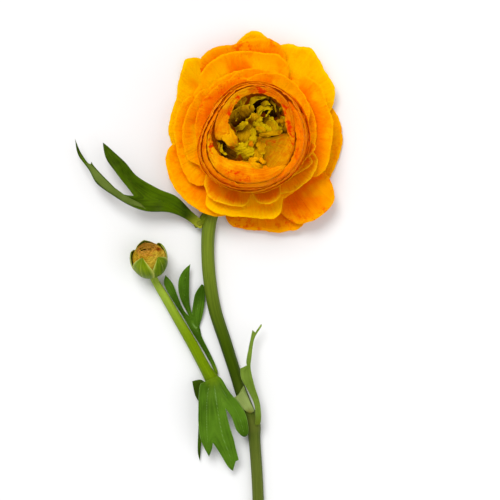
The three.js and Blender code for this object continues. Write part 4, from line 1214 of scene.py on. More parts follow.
class Shader:
    """Short calls for adding and joining the nodes of one tree."""

    def __init__(self, tree):
        self.tree = tree

    def node(self, kind, **settings):
        made = self.tree.nodes.new(kind)
        for key, value in settings.items():
            setattr(made, key, value)
        return made

    def join(self, source, target):
        self.tree.links.new(source, target)

    def feed(self, socket, value):
        if isinstance(value, bpy.types.NodeSocket):
            self.join(value, socket)
        else:
            socket.default_value = value

    def group(self, name, values):
        """A paint group of that name with values or sockets for its inputs."""
        made = self.node("ShaderNodeGroup", node_tree=paint_group(name))
        for key, value in values.items():
            self.feed(made.inputs[key], value)
        return made.outputs

    def math(self, operation, a, b=0.0):
        made = self.node("ShaderNodeMath", operation=operation)
        self.feed(made.inputs[0], a)
        self.feed(made.inputs[1], b)
        return made.outputs[0]

    def plus(self, a, b):
        return self.math("ADD", a, b)

    def minus(self, a, b):
        return self.math("SUBTRACT", a, b)

    def times(self, a, b):
        return self.math("MULTIPLY", a, b)

    def mix(self, share, a, b, blend="MIX"):
        made = self.node("ShaderNodeMix", data_type="RGBA", blend_type=blend)
        self.feed(made.inputs["Factor"], share)
        self.feed(made.inputs[6], a)
        self.feed(made.inputs[7], b)
        return made.outputs[2]

    def stain(self, share, colour, tint):
        """The colour with a share of it multiplied by a tint."""
        return self.mix(share, colour, self.mix(1.0, colour, tint, "MULTIPLY"))

    def ramp(self, value, low, high, to_low=0.0, to_high=1.0):
        """A soft step from one number to another while the value goes from low to high."""
        made = self.node("ShaderNodeMapRange", interpolation_type="SMOOTHSTEP")
        for key, number in zip(("Value", "From Min", "From Max", "To Min", "To Max"),
                               (value, low, high, to_low, to_high)):
            self.feed(made.inputs[key], number)
        return made.outputs["Result"]

    def noise(self, vector, scale, detail, rough=0.55):
        made = self.node("ShaderNodeTexNoise")
        self.feed(made.inputs["Vector"], vector)
        self.feed(made.inputs["Scale"], scale)
        made.inputs["Detail"].default_value = detail
        made.inputs["Roughness"].default_value = rough
        return made.outputs["Fac"]

    def vector(self, x, y, z):
        made = self.node("ShaderNodeCombineXYZ")
        for socket, value in zip(made.inputs, (x, y, z)):
            self.feed(socket, value)
        return made.outputs[0]

    def place(self):
        """Across, along and seed of the point on its blade."""
        stored = self.node("ShaderNodeAttribute", attribute_name="place")
        parts = self.node("ShaderNodeSeparateXYZ")
        self.join(stored.outputs["Vector"], parts.inputs[0])
        return parts.outputs

    def object_point(self):
        return self.node("ShaderNodeTexCoord").outputs["Object"]


def new_group(name, inputs, outputs):
    """A shader node group. A colour as an input's value makes that input a colour."""
    group = bpy.data.node_groups.new(name, "ShaderNodeTree")
    for key, value in inputs.items():
        kind = COLOUR if isinstance(value, tuple) else NUMBER
        socket = group.interface.new_socket(name=key, in_out="INPUT", socket_type=kind)
        socket.default_value = value
    for key, kind in outputs.items():
        group.interface.new_socket(name=key, in_out="OUTPUT", socket_type=kind)
    shader = Shader(group)
    start = shader.node("NodeGroupInput")
    end = shader.node("NodeGroupOutput")
    return shader, start.outputs, end.inputs


def blade_veins():
    """Fine veins that run along a blade and fan out with it."""
    shader, given, out = new_group(
        "Blade veins",
        {"Across": 0.0, "Along": 0.0, "Seed": 0.0, "Count": 20.0, "Breaks": 2.0},
        {"Veins": NUMBER},
    )
    across = shader.times(given["Across"], given["Count"])
    along = shader.times(given["Along"], given["Breaks"])
    fine = shader.noise(shader.vector(across, along, given["Seed"]), 1.0, 2.0, 0.6)
    slow = shader.times(across, 0.3)
    wide = shader.noise(shader.vector(slow, along, given["Seed"]), 1.0, 2.0)
    both = shader.plus(shader.times(fine, 0.6), shader.times(wide, 0.4))
    shader.join(shader.ramp(both, 0.3, 0.7), out["Veins"])


def petal_paint():
    """Petal colour: darker claw that is partly painted shade, glowing blade, lighter patches, a rim
    colour that is partly a painted highlight, darker lines along the rim as painted crease shade, and
    flecks of red at the rim.
    """
    shader, given, out = new_group(
        "Petal paint",
        {"Claw": WHITE, "Blade": WHITE, "Rim": WHITE, "Glow": WHITE, "Fleck": WHITE,
         "Glow Amount": 0.5, "Fleck Amount": 0.3, "Rim Start": 0.8, "Side Rim": 2.0,
         "Veins": 20.0, "Claw Start": 0.15, "Claw End": 0.62, "Rim Lines": 0.0},
        PAINT_OUTPUTS,
    )
    across, along, seed = shader.place()
    lines_at = {"Across": across, "Along": along, "Seed": seed, "Count": given["Veins"]}
    vein = shader.group("Blade veins", lines_at)["Veins"]
    # The claw colour towards the foot is partly the petal's own deeper colour and partly painted
    # shade in the hollow of the flower.
    blade = shader.ramp(along, given["Claw Start"], given["Claw End"])
    base = shader.mix(blade, given["Claw"], given["Blade"])
    point = shader.object_point()
    blotch = shader.noise(point, BLOTCHES, 2.0)
    patch = shader.times(shader.ramp(blotch, 0.46, 0.59), given["Glow Amount"])
    base = shader.mix(patch, base, given["Glow"])
    shade = shader.ramp(blotch, 0.44, 0.32, 0.0, 0.55)
    base = shader.mix(shade, base, given["Claw"])
    # The rim colour is partly the petal's own paler edge and partly a painted highlight where the
    # thin rims catch the light.
    edge = shader.ramp(shader.plus(along, shader.times(vein, 0.05)), given["Rim Start"], 1.03)
    side = shader.ramp(shader.math("ABSOLUTE", across), given["Side Rim"],
                       shader.plus(given["Side Rim"], 0.2))
    edge = shader.math("MAXIMUM", edge, side)
    base = shader.mix(edge, base, given["Rim"])
    streak = shader.times(shader.minus(1.0, vein), 0.16)
    base = shader.stain(streak, base, given["Claw"])
    speck = shader.noise(point, SPECKS, 3.0, 0.7)
    cloud = shader.noise(point, CLOUDS, 1.0)
    near = shader.ramp(along, 0.66, 0.93)
    fleck = shader.times(shader.ramp(speck, 0.46, 0.64), shader.ramp(cloud, 0.4, 0.6))
    fleck = shader.times(shader.times(fleck, near), given["Fleck Amount"])
    base = shader.mix(fleck, base, given["Fleck"])
    # Darker lines along the rim are painted shade of fine creases, matched by a groove in the relief.
    round_rim = shader.vector(shader.times(across, 3.0), shader.times(along, 60.0), seed)
    lines = shader.noise(round_rim, 1.0, 2.0)
    line = shader.times(shader.ramp(lines, 0.42, 0.62, 1.0, 0.0), given["Rim Lines"])
    base = shader.stain(line, base, given["Claw"])
    shader.join(base, out["Color"])
    shader.join(shader.ramp(vein, 0.0, 1.0, 0.5, 0.62), out["Roughness"])
    grain = shader.noise(point, PETAL_GRAIN, 2.0)
    height = shader.plus(vein, shader.times(grain, 0.25))
    shader.join(shader.minus(height, shader.times(line, 2.0)), out["Height"])


def leaf_paint():
    """Leaf colour: dark and light green in long streaks, a pale rib and a thin paler margin, except
    on the upper leaf, where the rib colour is darker as painted shade in its midrib crease.
    """
    shader, given, out = new_group(
        "Leaf paint",
        {"Dark": WHITE, "Light": WHITE, "Rib": WHITE, "Foot": WHITE, "Foot Length": 6.0,
         "Rib Width": 0.08, "Margin": 0.5, "Margin Start": 0.93},
        PAINT_OUTPUTS,
    )
    across, along, seed = shader.place()
    lines_at = {"Across": across, "Along": along, "Seed": seed, "Count": LEAF_VEINS,
                "Breaks": LEAF_BREAKS}
    vein = shader.group("Blade veins", lines_at)["Veins"]
    point = shader.object_point()
    cloud = shader.noise(point, LEAF_CLOUDS, 3.0)
    tone = shader.plus(shader.times(vein, 0.2), shader.times(cloud, 0.8))
    base = shader.mix(shader.ramp(tone, 0.3, 0.72), given["Dark"], given["Light"])
    rib = shader.ramp(across, 0.0, given["Rib Width"], 0.75, 0.0)
    base = shader.mix(rib, base, given["Rib"])
    margin = shader.ramp(across, given["Margin Start"], 1.0, 0.0, given["Margin"])
    base = shader.mix(margin, base, given["Rib"])
    foot = shader.ramp(along, 0.0, given["Foot Length"], 1.0, 0.0)
    base = shader.mix(foot, base, given["Foot"])
    shader.join(base, out["Color"])
    shader.join(shader.ramp(vein, 0.0, 1.0, 0.36, 0.5), out["Roughness"])
    fine = shader.noise(point, LEAF_GRAIN, 2.0)
    groove = shader.ramp(across, 0.0, 0.1, 0.0, 1.0)
    height = shader.plus(shader.times(vein, 0.3), shader.times(fine, 0.12))
    shader.join(shader.plus(height, groove), out["Height"])


def stem_paint():
    """Stem colour: three tones along its length, with fine ridges that run along it."""
    shader, given, out = new_group(
        "Stem paint",
        {"Low": WHITE, "Middle": WHITE, "High": WHITE, "Turning": 90.0, "Length": 180.0,
         "Node Colour": WHITE, "Node Place": 54.0},
        PAINT_OUTPUTS,
    )
    across, along, _ = shader.place()
    low = shader.ramp(along, shader.times(given["Turning"], 0.4), given["Turning"])
    high = shader.ramp(along, given["Turning"], given["Length"])
    base = shader.mix(low, given["Low"], given["Middle"])
    base = shader.mix(high, base, given["High"])
    angle = shader.times(across, 2 * math.pi)
    ring_x = shader.times(shader.math("COSINE", angle), 5.0)
    ring_y = shader.times(shader.math("SINE", angle), 5.0)
    streak = shader.noise(shader.vector(ring_x, ring_y, shader.times(along, 0.05)), 1.0, 3.0)
    dark = shader.mix(1.0, base, STEM_SHADE, "MULTIPLY")
    base = shader.mix(shader.ramp(streak, 0.62, 0.35, 0.0, 0.55), base, dark)
    speck = shader.noise(shader.object_point(), STEM_SPECKS, 2.0)
    base = shader.mix(shader.ramp(speck, 0.6, 0.75, 0.0, 0.25), base, dark)
    gap = shader.math("ABSOLUTE", shader.minus(along, given["Node Place"]))
    node = shader.ramp(gap, 1.0, 4.2, 0.85, 0.0)
    base = shader.mix(node, base, given["Node Colour"])
    shader.join(base, out["Color"])
    shader.join(shader.ramp(streak, 0.3, 0.7, 0.45, 0.6), out["Roughness"])
    shader.join(shader.plus(streak, shader.times(speck, 0.2)), out["Height"])


def painted(name, group, values, depth, settings, through):
    """A material whose colour, roughness and relief come from one paint group, and that lets a
    share of the light through."""
    material = bpy.data.materials.new(name)
    material.use_nodes = True
    tree = material.node_tree
    tree.nodes.clear()
    shader = Shader(tree)
    paint = shader.group(group, values)
    relief = shader.node("ShaderNodeBump")
    relief.inputs["Distance"].default_value = depth
    relief.inputs["Strength"].default_value = RELIEF_STRENGTH
    shader.join(paint["Height"], relief.inputs["Height"])
    surface = shader.node("ShaderNodeBsdfPrincipled")
    shader.join(paint["Color"], surface.inputs["Base Color"])
    shader.join(paint["Roughness"], surface.inputs["Roughness"])
    shader.join(relief.outputs["Normal"], surface.inputs["Normal"])
    for key, value in settings.items():
        surface.inputs[key].default_value = value
    end = shader.node("ShaderNodeOutputMaterial")
    if not through:
        shader.join(surface.outputs["BSDF"], end.inputs["Surface"])
        return material
    glow = shader.node("ShaderNodeBsdfTranslucent")
    shader.join(paint["Color"], glow.inputs["Color"])
    both = shader.node("ShaderNodeMixShader")
    both.inputs["Fac"].default_value = through
    shader.join(surface.outputs["BSDF"], both.inputs[1])
    shader.join(glow.outputs["BSDF"], both.inputs[2])
    shader.join(both.outputs["Shader"], end.inputs["Surface"])
    return material


def linear(colour):
    """A display colour of 0 to 255 as the linear colour that shaders use."""
    share = [c / 255 for c in colour]
    bright = [c / 12.92 if c <= 0.04045 else ((c + 0.055) / 1.055) ** 2.4 for c in share]
    return (*bright, 1.0)


# Depths of the reliefs in metres, and how strongly they show.
PETAL_RELIEF = 0.0003
LEAF_RELIEF = 0.0003
STEM_RELIEF = 0.0004
RELIEF_STRENGTH = 0.6

PETAL_SHADER = {
    "Subsurface Weight": 0.25,
    "Subsurface Radius": (0.0008, 0.0008, 0.0008),
    "Subsurface Scale": 1.0,
    "Specular IOR Level": 0.03,
    "Specular Tint": (1.0, 0.6, 0.08, 1.0),
    "Emission Color": (1.0, 0.3, 0.0, 1.0),  # a painted glow, though the petals are no lamp, standing in for the light that thin petals carry into their folds
}
LEAF_SHADER = {
    "Subsurface Weight": 0.12,
    "Subsurface Radius": (0.001, 0.0014, 0.0004),
    "Subsurface Scale": 1.0,
    "Specular IOR Level": 0.14,
    "Specular Tint": (0.9, 1.0, 0.2, 1.0),
}

# Petal finishes: claw, blade, rim, glow and fleck colours, then the amounts. The claw colour is
# partly painted shade at the foot, and the rim colour partly a painted highlight.
PETAL_FINISHES = {
    "petal_sun": ((244, 118, 0), (255, 162, 0), (255, 194, 0), (255, 208, 0), (244, 120, 0),
                  0.75, 0.2, 0.7),
    "petal_amber": ((230, 92, 0), (255, 146, 0), (255, 172, 0), (255, 204, 0), (240, 80, 2),
                    0.75, 0.35, 0.82),
    "petal_ember": ((218, 78, 0), (255, 136, 0), (255, 162, 0), (255, 186, 0), (232, 66, 4),
                    0.6, 0.8, 0.86),
    # The petals beside the cup on the lower side take a copy of the amber finish with a darker blade
    # as painted shade and a lighter rim as a painted highlight.
    "petal_hollow": ((216, 96, 0), (242, 130, 0), (255, 194, 6), (255, 172, 0), (230, 76, 4),
                     0.5, 0.35, 0.9),
    "cup_orange": ((226, 84, 0), (255, 144, 0), (255, 168, 0), (255, 170, 0), (236, 60, 6),
                   0.5, 0.6, 0.95),
    "cup_ember": ((214, 66, 0), (244, 144, 2), (255, 166, 2), (255, 202, 6), (228, 48, 4),
                  0.7, 1.3, 0.95),
    "cup_olive": ((214, 90, 0), (240, 156, 2), (152, 124, 4), (246, 176, 4), (206, 60, 6),
                  0.4, 0.8, 0.76),
    "eye_amber": ((250, 150, 2), (244, 166, 2), (170, 128, 4), (250, 184, 4), (232, 60, 8),
                  0.5, 0.8, 0.66),
    "eye_gold": ((150, 80, 0), (206, 144, 2), (240, 186, 6), (232, 176, 4), (206, 70, 6),
                 0.6, 0.6, 0.8),
    "eye_olive": ((100, 50, 0), (204, 150, 6), (236, 194, 8), (212, 160, 5), (160, 76, 4),
                  0.5, 0.4, 0.88),
    "eye_lime": ((130, 92, 2), (194, 156, 4), (248, 214, 10), (222, 184, 6), (190, 84, 6),
                 0.6, 0.25, 0.76),
    "eye_ember": ((190, 120, 4), (226, 120, 6), (236, 170, 6), (240, 150, 4), (206, 60, 8),
                  0.5, 0.9, 0.8),
    # The petals deep in the eye are painted dark as shade.
    "eye_dark": ((44, 14, 0), (88, 46, 2), (170, 130, 6), (110, 74, 2), (90, 36, 4),
                 0.4, 0.2, 0.88),
    "bud_ochre": ((156, 150, 20), (228, 178, 42), (232, 164, 64), (240, 206, 76), (156, 74, 14),
                  0.8, 1.7, 0.84),
}

# What the petal finishes of a kind share: more amounts, the share of the light that they let through
# and the strength of a painted glow that stands in for light carried into their folds. The first word
# of a finish is its kind.
PETAL_KINDS = {
    "petal": ({"Claw Start": 0.45, "Claw End": 0.95}, 0.1, 0.012),
    "cup": ({"Rim Lines": 0.3}, 0.18, 0.055),
    "eye": ({"Side Rim": 0.8}, 0.08, 0.0),
    "bud": ({"Rim Lines": 0.85}, 0.0, 0.0),
}

# Leaf finishes: dark, light, rib and foot colours, the length of the foot in millimetres, and the
# width of the rib and the strength and start of the margin as shares.
LEAF_FINISHES = {
    # On the upper leaf the rib colour is darker: painted shade along its midrib crease.
    "leaf_dark": ((14, 32, 0), (70, 97, 0), (34, 54, 0), (144, 150, 36), 7.0, 0.06, 0.2, 0.9),
    "lobe_dark": ((28, 48, 0), (60, 90, 4), (76, 100, 14), (46, 66, 10), 3.0, 0.06, 0.3, 0.9),
    "leaf_under": ((66, 84, 24), (98, 114, 50), (110, 126, 66), (94, 110, 46), 1.0, 0.1, 0.3, 0.9),
    "leaf_green": ((32, 64, 0), (76, 114, 22), (116, 148, 78), (90, 116, 10), 5.0, 0.08, 0.5, 0.93),
    "leaf_pale": ((66, 90, 14), (106, 130, 46), (134, 152, 78), (84, 100, 22), 5.0, 0.08, 0.5, 0.93),
    "sheath_pale": ((90, 108, 40), (136, 152, 84), (150, 164, 100), (104, 104, 34), 3.0, 0.08, 0.5,
                    0.93),
    "sepal_green": ((64, 92, 0), (130, 150, 14), (190, 194, 92), (104, 122, 10), 4.0, 0.02, 0.75,
                    0.7),
}

# Stem finishes: the colours at the foot, the middle, the top and the node, the lengths in
# millimetres where the middle colour is full and where the top colour is, and the node's place.
STEM_FINISHES = {
    "stem_green": ((88, 100, 36), (52, 74, 0), (106, 124, 34), (84, 94, 32), 84, 128, 54.5),
    "shoot_green": ((98, 126, 0), (112, 138, 2), (162, 186, 66), (84, 94, 32), 30, 66, -20),
    "stalk_green": ((122, 126, 34), (96, 112, 14), (96, 114, 22), (84, 94, 32), 4, 8, -20),
}

# The paints of the finishes: the inputs that a finish gives in its order, the depth of the
# relief and the settings of the surface. A finish's second colour is its main one.
PAINTS = [
    ("Petal paint", PETAL_FINISHES,
     ("Claw", "Blade", "Rim", "Glow", "Fleck", "Glow Amount", "Fleck Amount", "Rim Start"),
     PETAL_RELIEF, PETAL_SHADER),
    ("Leaf paint", LEAF_FINISHES,
     ("Dark", "Light", "Rib", "Foot", "Foot Length", "Rib Width", "Margin", "Margin Start"),
     LEAF_RELIEF, LEAF_SHADER),
    ("Stem paint", STEM_FINISHES,
     ("Low", "Middle", "High", "Node Colour", "Turning", "Length", "Node Place"),
     STEM_RELIEF, LEAF_SHADER),
]
FINISHES = {**PETAL_FINISHES, **LEAF_FINISHES, **STEM_FINISHES}

PAINT_BUILDERS = {
    "Blade veins": blade_veins,
    "Petal paint": petal_paint,
    "Leaf paint": leaf_paint,
    "Stem paint": stem_paint,
}


def paint_group(name):
    """The shader node group of that name, built the first time it is asked for."""
    if name not in bpy.data.node_groups:
        PAINT_BUILDERS[name]()
    return bpy.data.node_groups[name]


def finish_material(scene, finish):
    """The material of that finish, with its main colour from the scene, made the first time."""
    if finish in bpy.data.materials:
        return bpy.data.materials[finish]
    paint, _, inputs, depth, settings = next(row for row in PAINTS if finish in row[1])
    values = dict(zip(inputs, FINISHES[finish]))
    for key, value in values.items():
        if isinstance(value, tuple):
            values[key] = linear(value)
    values[inputs[1]] = getattr(scene.ranunculus_colours, finish)
    through = 0.0
    if finish in PETAL_FINISHES:
        amounts, through, painted_glow = PETAL_KINDS[finish.split("_")[0]]
        values.update(amounts)
        # The emission is a painted glow that lifts the shade in the folds.
        settings = {**settings, "Emission Strength": painted_glow}
    return painted(finish, paint, values, depth, settings, through)


# What a user can change

def length_property(name, millimetres, description):
    """A length that a user can change, given in millimetres."""
    return FloatProperty(name=name, description=description, default=millimetres * MM, min=0.0,
                         precision=5, subtype="DISTANCE", unit="LENGTH")


def colour_property(name, shown, description):
    """A colour that a user can change, given as a display shows it."""
    return FloatVectorProperty(name=name, description=description, default=linear(shown),
                               min=0.0, max=1.0, size=4, subtype="COLOR")


class RanunculusSizes(bpy.types.PropertyGroup):
    """Thicknesses, and how far the blades leave their smooth shape."""

    petal: length_property("Petal", 0.32, "Thickness of a petal at its foot")
    sepal: length_property("Sepal", 0.45, "Thickness of a sepal at its middle")
    leaf: length_property("Leaf", 0.45, "Thickness of a leaf along its rib")
    ruffle: length_property("Ruffle", 0.4, "Height of the waves at the rim of an open petal")
    billow: length_property("Billow", 1.0, "Depth of the soft hollows of an open petal")
    fray: length_property("Fray", 0.2, "Depth of the small notches along a rim")
    cup_ruffle: length_property("Cup ruffle", 0.14, "Height of the waves on the rims of the cup")
    crumple: length_property("Crumple", 0.9, "Depth of the creases of the petals in the eye")


def finish_colour(finish, description):
    """The property for the main colour of a finish, which covers most of its blade."""
    title = finish.replace("_", " ").capitalize()
    return colour_property(title, FINISHES[finish][1], description)


class RanunculusColours(bpy.types.PropertyGroup):
    """The main colour of each finish."""

    petal_sun: finish_colour("petal_sun", "Blade of the yellow outermost petals")
    petal_amber: finish_colour("petal_amber", "Blade of the amber open petals")
    petal_ember: finish_colour("petal_ember", "Blade of the deep orange open petals")
    # A blade darkened with painted shade, with a painted highlight on the rim.
    petal_hollow: finish_colour("petal_hollow", "Blade of the petals beside the cup")
    cup_orange: finish_colour("cup_orange", "Blade of the cup's outer petals")
    cup_ember: finish_colour("cup_ember", "Blade of the cup's flecked petals")
    cup_olive: finish_colour("cup_olive", "Wall of the cup's olive petal")
    eye_amber: finish_colour("eye_amber", "Amber petals in the eye")
    eye_gold: finish_colour("eye_gold", "Gold petals in the eye")
    eye_olive: finish_colour("eye_olive", "Olive petals in the eye")
    eye_lime: finish_colour("eye_lime", "Yellow-green tips in the eye")
    eye_ember: finish_colour("eye_ember", "Orange tip in the eye")
    # Dark colour of the petals deep in the eye, painted shade.
    eye_dark: finish_colour("eye_dark", "Petals deep in the eye")
    bud_ochre: finish_colour("bud_ochre", "Petals of the bud")
    leaf_dark: finish_colour("leaf_dark", "Light green of the upper leaf")
    lobe_dark: finish_colour("lobe_dark", "Light green of the folded lobes")
    leaf_under: finish_colour("leaf_under", "Underside of the upper leaf")
    leaf_green: finish_colour("leaf_green", "Light green of the lower leaves")
    leaf_pale: finish_colour("leaf_pale", "Light green of the narrow leaf")
    sheath_pale: finish_colour("sheath_pale", "Light green of the sheath at the node")
    sepal_green: finish_colour("sepal_green", "Light green of the sepals")
    stem_green: finish_colour("stem_green", "Middle of the main stem")
    shoot_green: finish_colour("shoot_green", "Middle of the bud's shoot")
    stalk_green: finish_colour("stalk_green", "Foot of the upper leaf")
    floor: colour_property("Floor", FLOOR_COLOUR, "The surface that the flower lies on")


def sizes_in_millimetres(scene):
    """The sizes that a user can change, by their names."""
    settings = scene.ranunculus_sizes
    return {name: getattr(settings, name) / MM for name in RanunculusSizes.__annotations__}


# The pieces

class RANUNCULUS_OT_add_stems(bpy.types.Operator):
    """Adds the main stem, the bud's shoot and the foot of the upper leaf"""

    bl_idname = "ranunculus.add_stems"
    bl_label = "Stems"

    def execute(self, context):
        for name, path, sides, rows, finish, slot, nodes in STEMS:
            piece = tube_piece(name, path, sides, rows)
            finish_piece(piece, finish, slot, *nodes)
        return {"FINISHED"}


class RANUNCULUS_OT_add_leaves(bpy.types.Operator):
    """Adds the leaves and the sheath at the node"""

    bl_idname = "ranunculus.add_leaves"
    bl_label = "Leaves"

    def execute(self, context):
        thickness = sizes_in_millimetres(context.scene)["leaf"]
        for seed, (name, leaf) in enumerate(LEAVES.items()):
            piece = leaf_piece(name + "_blade", leaf, thickness, seed)
            nodes = [] if name in LEAVES_WITHOUT_NODE else [name]
            finish_piece(piece, leaf["finish"], LEAF_SLOTS[leaf["finish"]], *nodes)
        return {"FINISHED"}


class RANUNCULUS_OT_add_bloom_sepals(bpy.types.Operator):
    """Adds the sepals under the bloom"""

    bl_idname = "ranunculus.add_bloom_sepals"
    bl_label = "Bloom sepals"

    def execute(self, context):
        sizes = sizes_in_millimetres(context.scene)
        for number in range(1, SEPAL_COUNT + 1):
            piece = bloom_sepal(f"sepal_blade_{number}", number, sizes)
            finish_piece(piece, "sepal_green", "sepal", f"bloom_sepal_{number}")
        return {"FINISHED"}


class RANUNCULUS_OT_add_receptacle(bpy.types.Operator):
    """Adds the knob in the middle that carries the petals"""

    bl_idname = "ranunculus.add_receptacle"
    bl_label = "Receptacle"

    def execute(self, context):
        piece = receptacle_piece("flower_receptacle")
        finish_piece(piece, "eye_olive", "receptacle", "receptacle")
        return {"FINISHED"}


class RANUNCULUS_OT_add_open_petals(bpy.types.Operator):
    """Adds the guard, outer and middle petals"""

    bl_idname = "ranunculus.add_open_petals"
    bl_label = "Open petals"

    def execute(self, context):
        sizes = sizes_in_millimetres(context.scene)
        seed = 1
        for group, petals in OPEN_PETALS.items():
            for number, (layer, finish, rim) in enumerate(petals, 1):
                piece = open_petal(f"{group}_petal_blade_{number}", layer, rim, seed, sizes)
                finish_piece(piece, finish, group + "_petal", f"{group}_petal_{number}")
                seed += 1
        return {"FINISHED"}


class RANUNCULUS_OT_add_inner_petals(bpy.types.Operator):
    """Adds the petals that fill the flower under its open ones"""

    bl_idname = "ranunculus.add_inner_petals"
    bl_label = "Inner petals"

    def execute(self, context):
        sizes = sizes_in_millimetres(context.scene)
        number = 0
        for layer, finish, middle, reach in INNER_RINGS:
            for step in range(INNER_COUNT):
                number += 1
                rim = inner_rim(middle + step * 360 / INNER_COUNT, reach)
                level = layer + INNER_OVERLAP * (step % 2)
                piece = open_petal(f"inner_petal_blade_{number}", level, rim, INNER_SEED + number,
                                   sizes, INNER_ROWS)
                finish_piece(piece, finish, "middle_petal")
        return {"FINISHED"}


class RANUNCULUS_OT_add_collar_petals(bpy.types.Operator):
    """Adds the petals that stand against the wall of the cup"""

    bl_idname = "ranunculus.add_collar_petals"
    bl_label = "Collar petals"

    def execute(self, context):
        sizes = sizes_in_millimetres(context.scene)
        for number, (middle, half, out, tip, finish) in enumerate(COLLAR_PETALS, 1):
            piece = collar_petal(f"collar_petal_blade_{number}", middle, half, out, tip,
                                 COLLAR_SEED + number, sizes)
            finish_piece(piece, finish, "middle_petal")
        return {"FINISHED"}


class RANUNCULUS_OT_add_cup_petals(bpy.types.Operator):
    """Adds the petals of the closed cup and the narrow folds on them"""

    bl_idname = "ranunculus.add_cup_petals"
    bl_label = "Cup petals"

    def execute(self, context):
        sizes = sizes_in_millimetres(context.scene)
        for number, petal in enumerate(CUP_PETALS, 1):
            piece = cup_petal(f"cup_petal_blade_{number}", petal, CUP_SEED + number, sizes)
            finish_piece(piece, petal["finish"], "cup_petal", f"cup_petal_{number}")
        for number, (petal, reach, lift, first, last) in enumerate(CUP_FOLDS, 1):
            fold = cup_fold(CUP_PETALS[petal - 1], reach, lift, first, last)
            piece = cup_petal(f"cup_fold_{number}", fold, FOLD_SEED + number, sizes)
            finish_piece(piece, fold["finish"], "cup_petal")
        return {"FINISHED"}


class RANUNCULUS_OT_add_eye_petals(bpy.types.Operator):
    """Adds the crumpled petals in the mouth of the cup"""

    bl_idname = "ranunculus.add_eye_petals"
    bl_label = "Eye petals"

    def execute(self, context):
        sizes = sizes_in_millimetres(context.scene)
        for number, (spine, widths, across, rise, roll, finish) in enumerate(EYE_PETALS, 1):
            name = f"eye_petal_blade_{number}"
            piece = curled_petal(name, spine, widths, across, rise, roll, EYE_SEED + number, sizes)
            nodes = [f"eye_petal_{number}"] if number <= EYE_NODES else []
            finish_piece(piece, finish, "eye_petal", *nodes)
        return {"FINISHED"}


class RANUNCULUS_OT_add_bud_sepals(bpy.types.Operator):
    """Adds the sepals that hold the bud"""

    bl_idname = "ranunculus.add_bud_sepals"
    bl_label = "Bud sepals"

    def execute(self, context):
        sizes = sizes_in_millimetres(context.scene)
        for number in range(1, len(BUD_SEPALS) + 1):
            piece = bud_sepal(f"bud_sepal_blade_{number}", number, sizes)
            finish_piece(piece, "sepal_green", "sepal", f"bud_sepal_{number}")
        return {"FINISHED"}


class RANUNCULUS_OT_add_bud_petals(bpy.types.Operator):
    """Adds the petals that close over the top of the bud"""

    bl_idname = "ranunculus.add_bud_petals"
    bl_label = "Bud petals"

    def execute(self, context):
        for number in range(1, len(BUD_PETALS) + 1):
            piece = bud_petal(f"bud_petal_{number}", number)
            nodes = ["bud_heart"] if number == 1 else []
            finish_piece(piece, "bud_ochre", "bud", *nodes)
        return {"FINISHED"}


class RANUNCULUS_OT_add_stage(bpy.types.Operator):
    """Adds the floor, the world, the two lamps and the camera"""

    bl_idname = "ranunculus.add_stage"
    bl_label = "Stage"

    def execute(self, context):
        add_floor(context.scene)
        add_world(context.scene)
        for name, direction, energy, spread in LAMPS:
            add_lamp(context.scene, name, direction, energy, spread)
        add_camera(context.scene)
        context.scene.view_settings.view_transform = "Standard"
        return {"FINISHED"}


def add_floor(scene):
    """The large plain square that the flower lies on."""
    mesh = bpy.data.meshes.new("floor")
    corners = [(x * FLOOR_REACH, y * FLOOR_REACH, 0) for x, y in ((-1, -1), (1, -1), (1, 1), (-1, 1))]
    mesh.from_pydata(corners, [], [(0, 1, 2, 3)])
    floor = bpy.data.objects.new("floor", mesh)
    scene.collection.objects.link(floor)
    material = bpy.data.materials.new("floor_matte")
    material.use_nodes = True
    surface = material.node_tree.nodes["Principled BSDF"]
    surface.inputs["Base Color"].default_value = scene.ranunculus_colours.floor
    surface.inputs["Roughness"].default_value = 1.0
    surface.inputs["Specular IOR Level"].default_value = 0.0
    mesh.materials.append(material)


def add_world(scene):
    """Even light from all round, seen by the camera as the floor's own brightness."""
    world = bpy.data.worlds.new("studio")
    world.use_nodes = True
    world.node_tree.nodes.clear()
    shader = Shader(world.node_tree)
    around = shader.node("ShaderNodeBackground")
    around.inputs["Strength"].default_value = WORLD_STRENGTH
    seen = shader.node("ShaderNodeBackground")
    seen.inputs["Color"].default_value = HORIZON_COLOUR
    ray = shader.node("ShaderNodeLightPath")
    pick = shader.node("ShaderNodeMixShader")
    shader.join(ray.outputs["Is Camera Ray"], pick.inputs[0])
    shader.join(around.outputs[0], pick.inputs[1])
    shader.join(seen.outputs[0], pick.inputs[2])
    end = shader.node("ShaderNodeOutputWorld")
    shader.join(pick.outputs[0], end.inputs["Surface"])
    scene.world = world


def add_lamp(scene, name, direction, energy, spread):
    """A far lamp in a direction, with its spread in degrees."""
    data = bpy.data.lights.new(name, "SUN")
    data.energy = energy
    data.angle = math.radians(spread)
    lamp = bpy.data.objects.new(name, data)
    lamp.rotation_euler = Vector(direction).to_track_quat("Z", "Y").to_euler()
    scene.collection.objects.link(lamp)


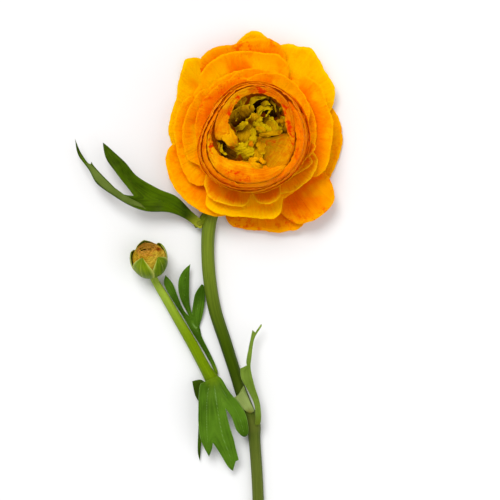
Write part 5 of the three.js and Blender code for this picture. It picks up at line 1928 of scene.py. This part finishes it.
def add_camera(scene):
    """The camera, which looks straight down on the flower."""
    data = bpy.data.cameras.new("camera")
    data.sensor_width = CAMERA_SENSOR
    data.lens = CAMERA_LENS
    camera = bpy.data.objects.new("camera", data)
    camera.location = CAMERA_PLACE
    scene.collection.objects.link(camera)
    scene.camera = camera


class RANUNCULUS_PT_panel(bpy.types.Panel):
    """Lists the pieces, the sizes and the colours"""

    bl_idname = "RANUNCULUS_PT_panel"
    bl_label = "Ranunculus flower"
    bl_space_type = "VIEW_3D"
    bl_region_type = "UI"
    bl_category = "Ranunculus"

    def draw(self, context):
        for operator in OPERATORS:
            self.layout.operator(operator.bl_idname)
        for settings in (context.scene.ranunculus_sizes, context.scene.ranunculus_colours):
            box = self.layout.box()
            for name in settings.__annotations__:
                box.prop(settings, name)


# In the order in which the pieces are built
OPERATORS = (
    RANUNCULUS_OT_add_stage, RANUNCULUS_OT_add_stems, RANUNCULUS_OT_add_leaves,
    RANUNCULUS_OT_add_bloom_sepals, RANUNCULUS_OT_add_receptacle, RANUNCULUS_OT_add_open_petals,
    RANUNCULUS_OT_add_inner_petals, RANUNCULUS_OT_add_collar_petals,
    RANUNCULUS_OT_add_cup_petals, RANUNCULUS_OT_add_eye_petals, RANUNCULUS_OT_add_bud_sepals,
    RANUNCULUS_OT_add_bud_petals,
)
CLASSES = (RanunculusSizes, RanunculusColours, *OPERATORS, RANUNCULUS_PT_panel)


def register():
    for listed in CLASSES:
        bpy.utils.register_class(listed)
    bpy.types.Scene.ranunculus_sizes = PointerProperty(type=RanunculusSizes)
    bpy.types.Scene.ranunculus_colours = PointerProperty(type=RanunculusColours)


def unregister():
    del bpy.types.Scene.ranunculus_colours
    del bpy.types.Scene.ranunculus_sizes
    for listed in reversed(CLASSES):
        bpy.utils.unregister_class(listed)


def main():
    """Adds the stage and every piece."""
    register()
    for operator in OPERATORS:
        group, name = operator.bl_idname.split(".")
        getattr(getattr(bpy.ops, group), name)()


if __name__ == "__main__":
    main()
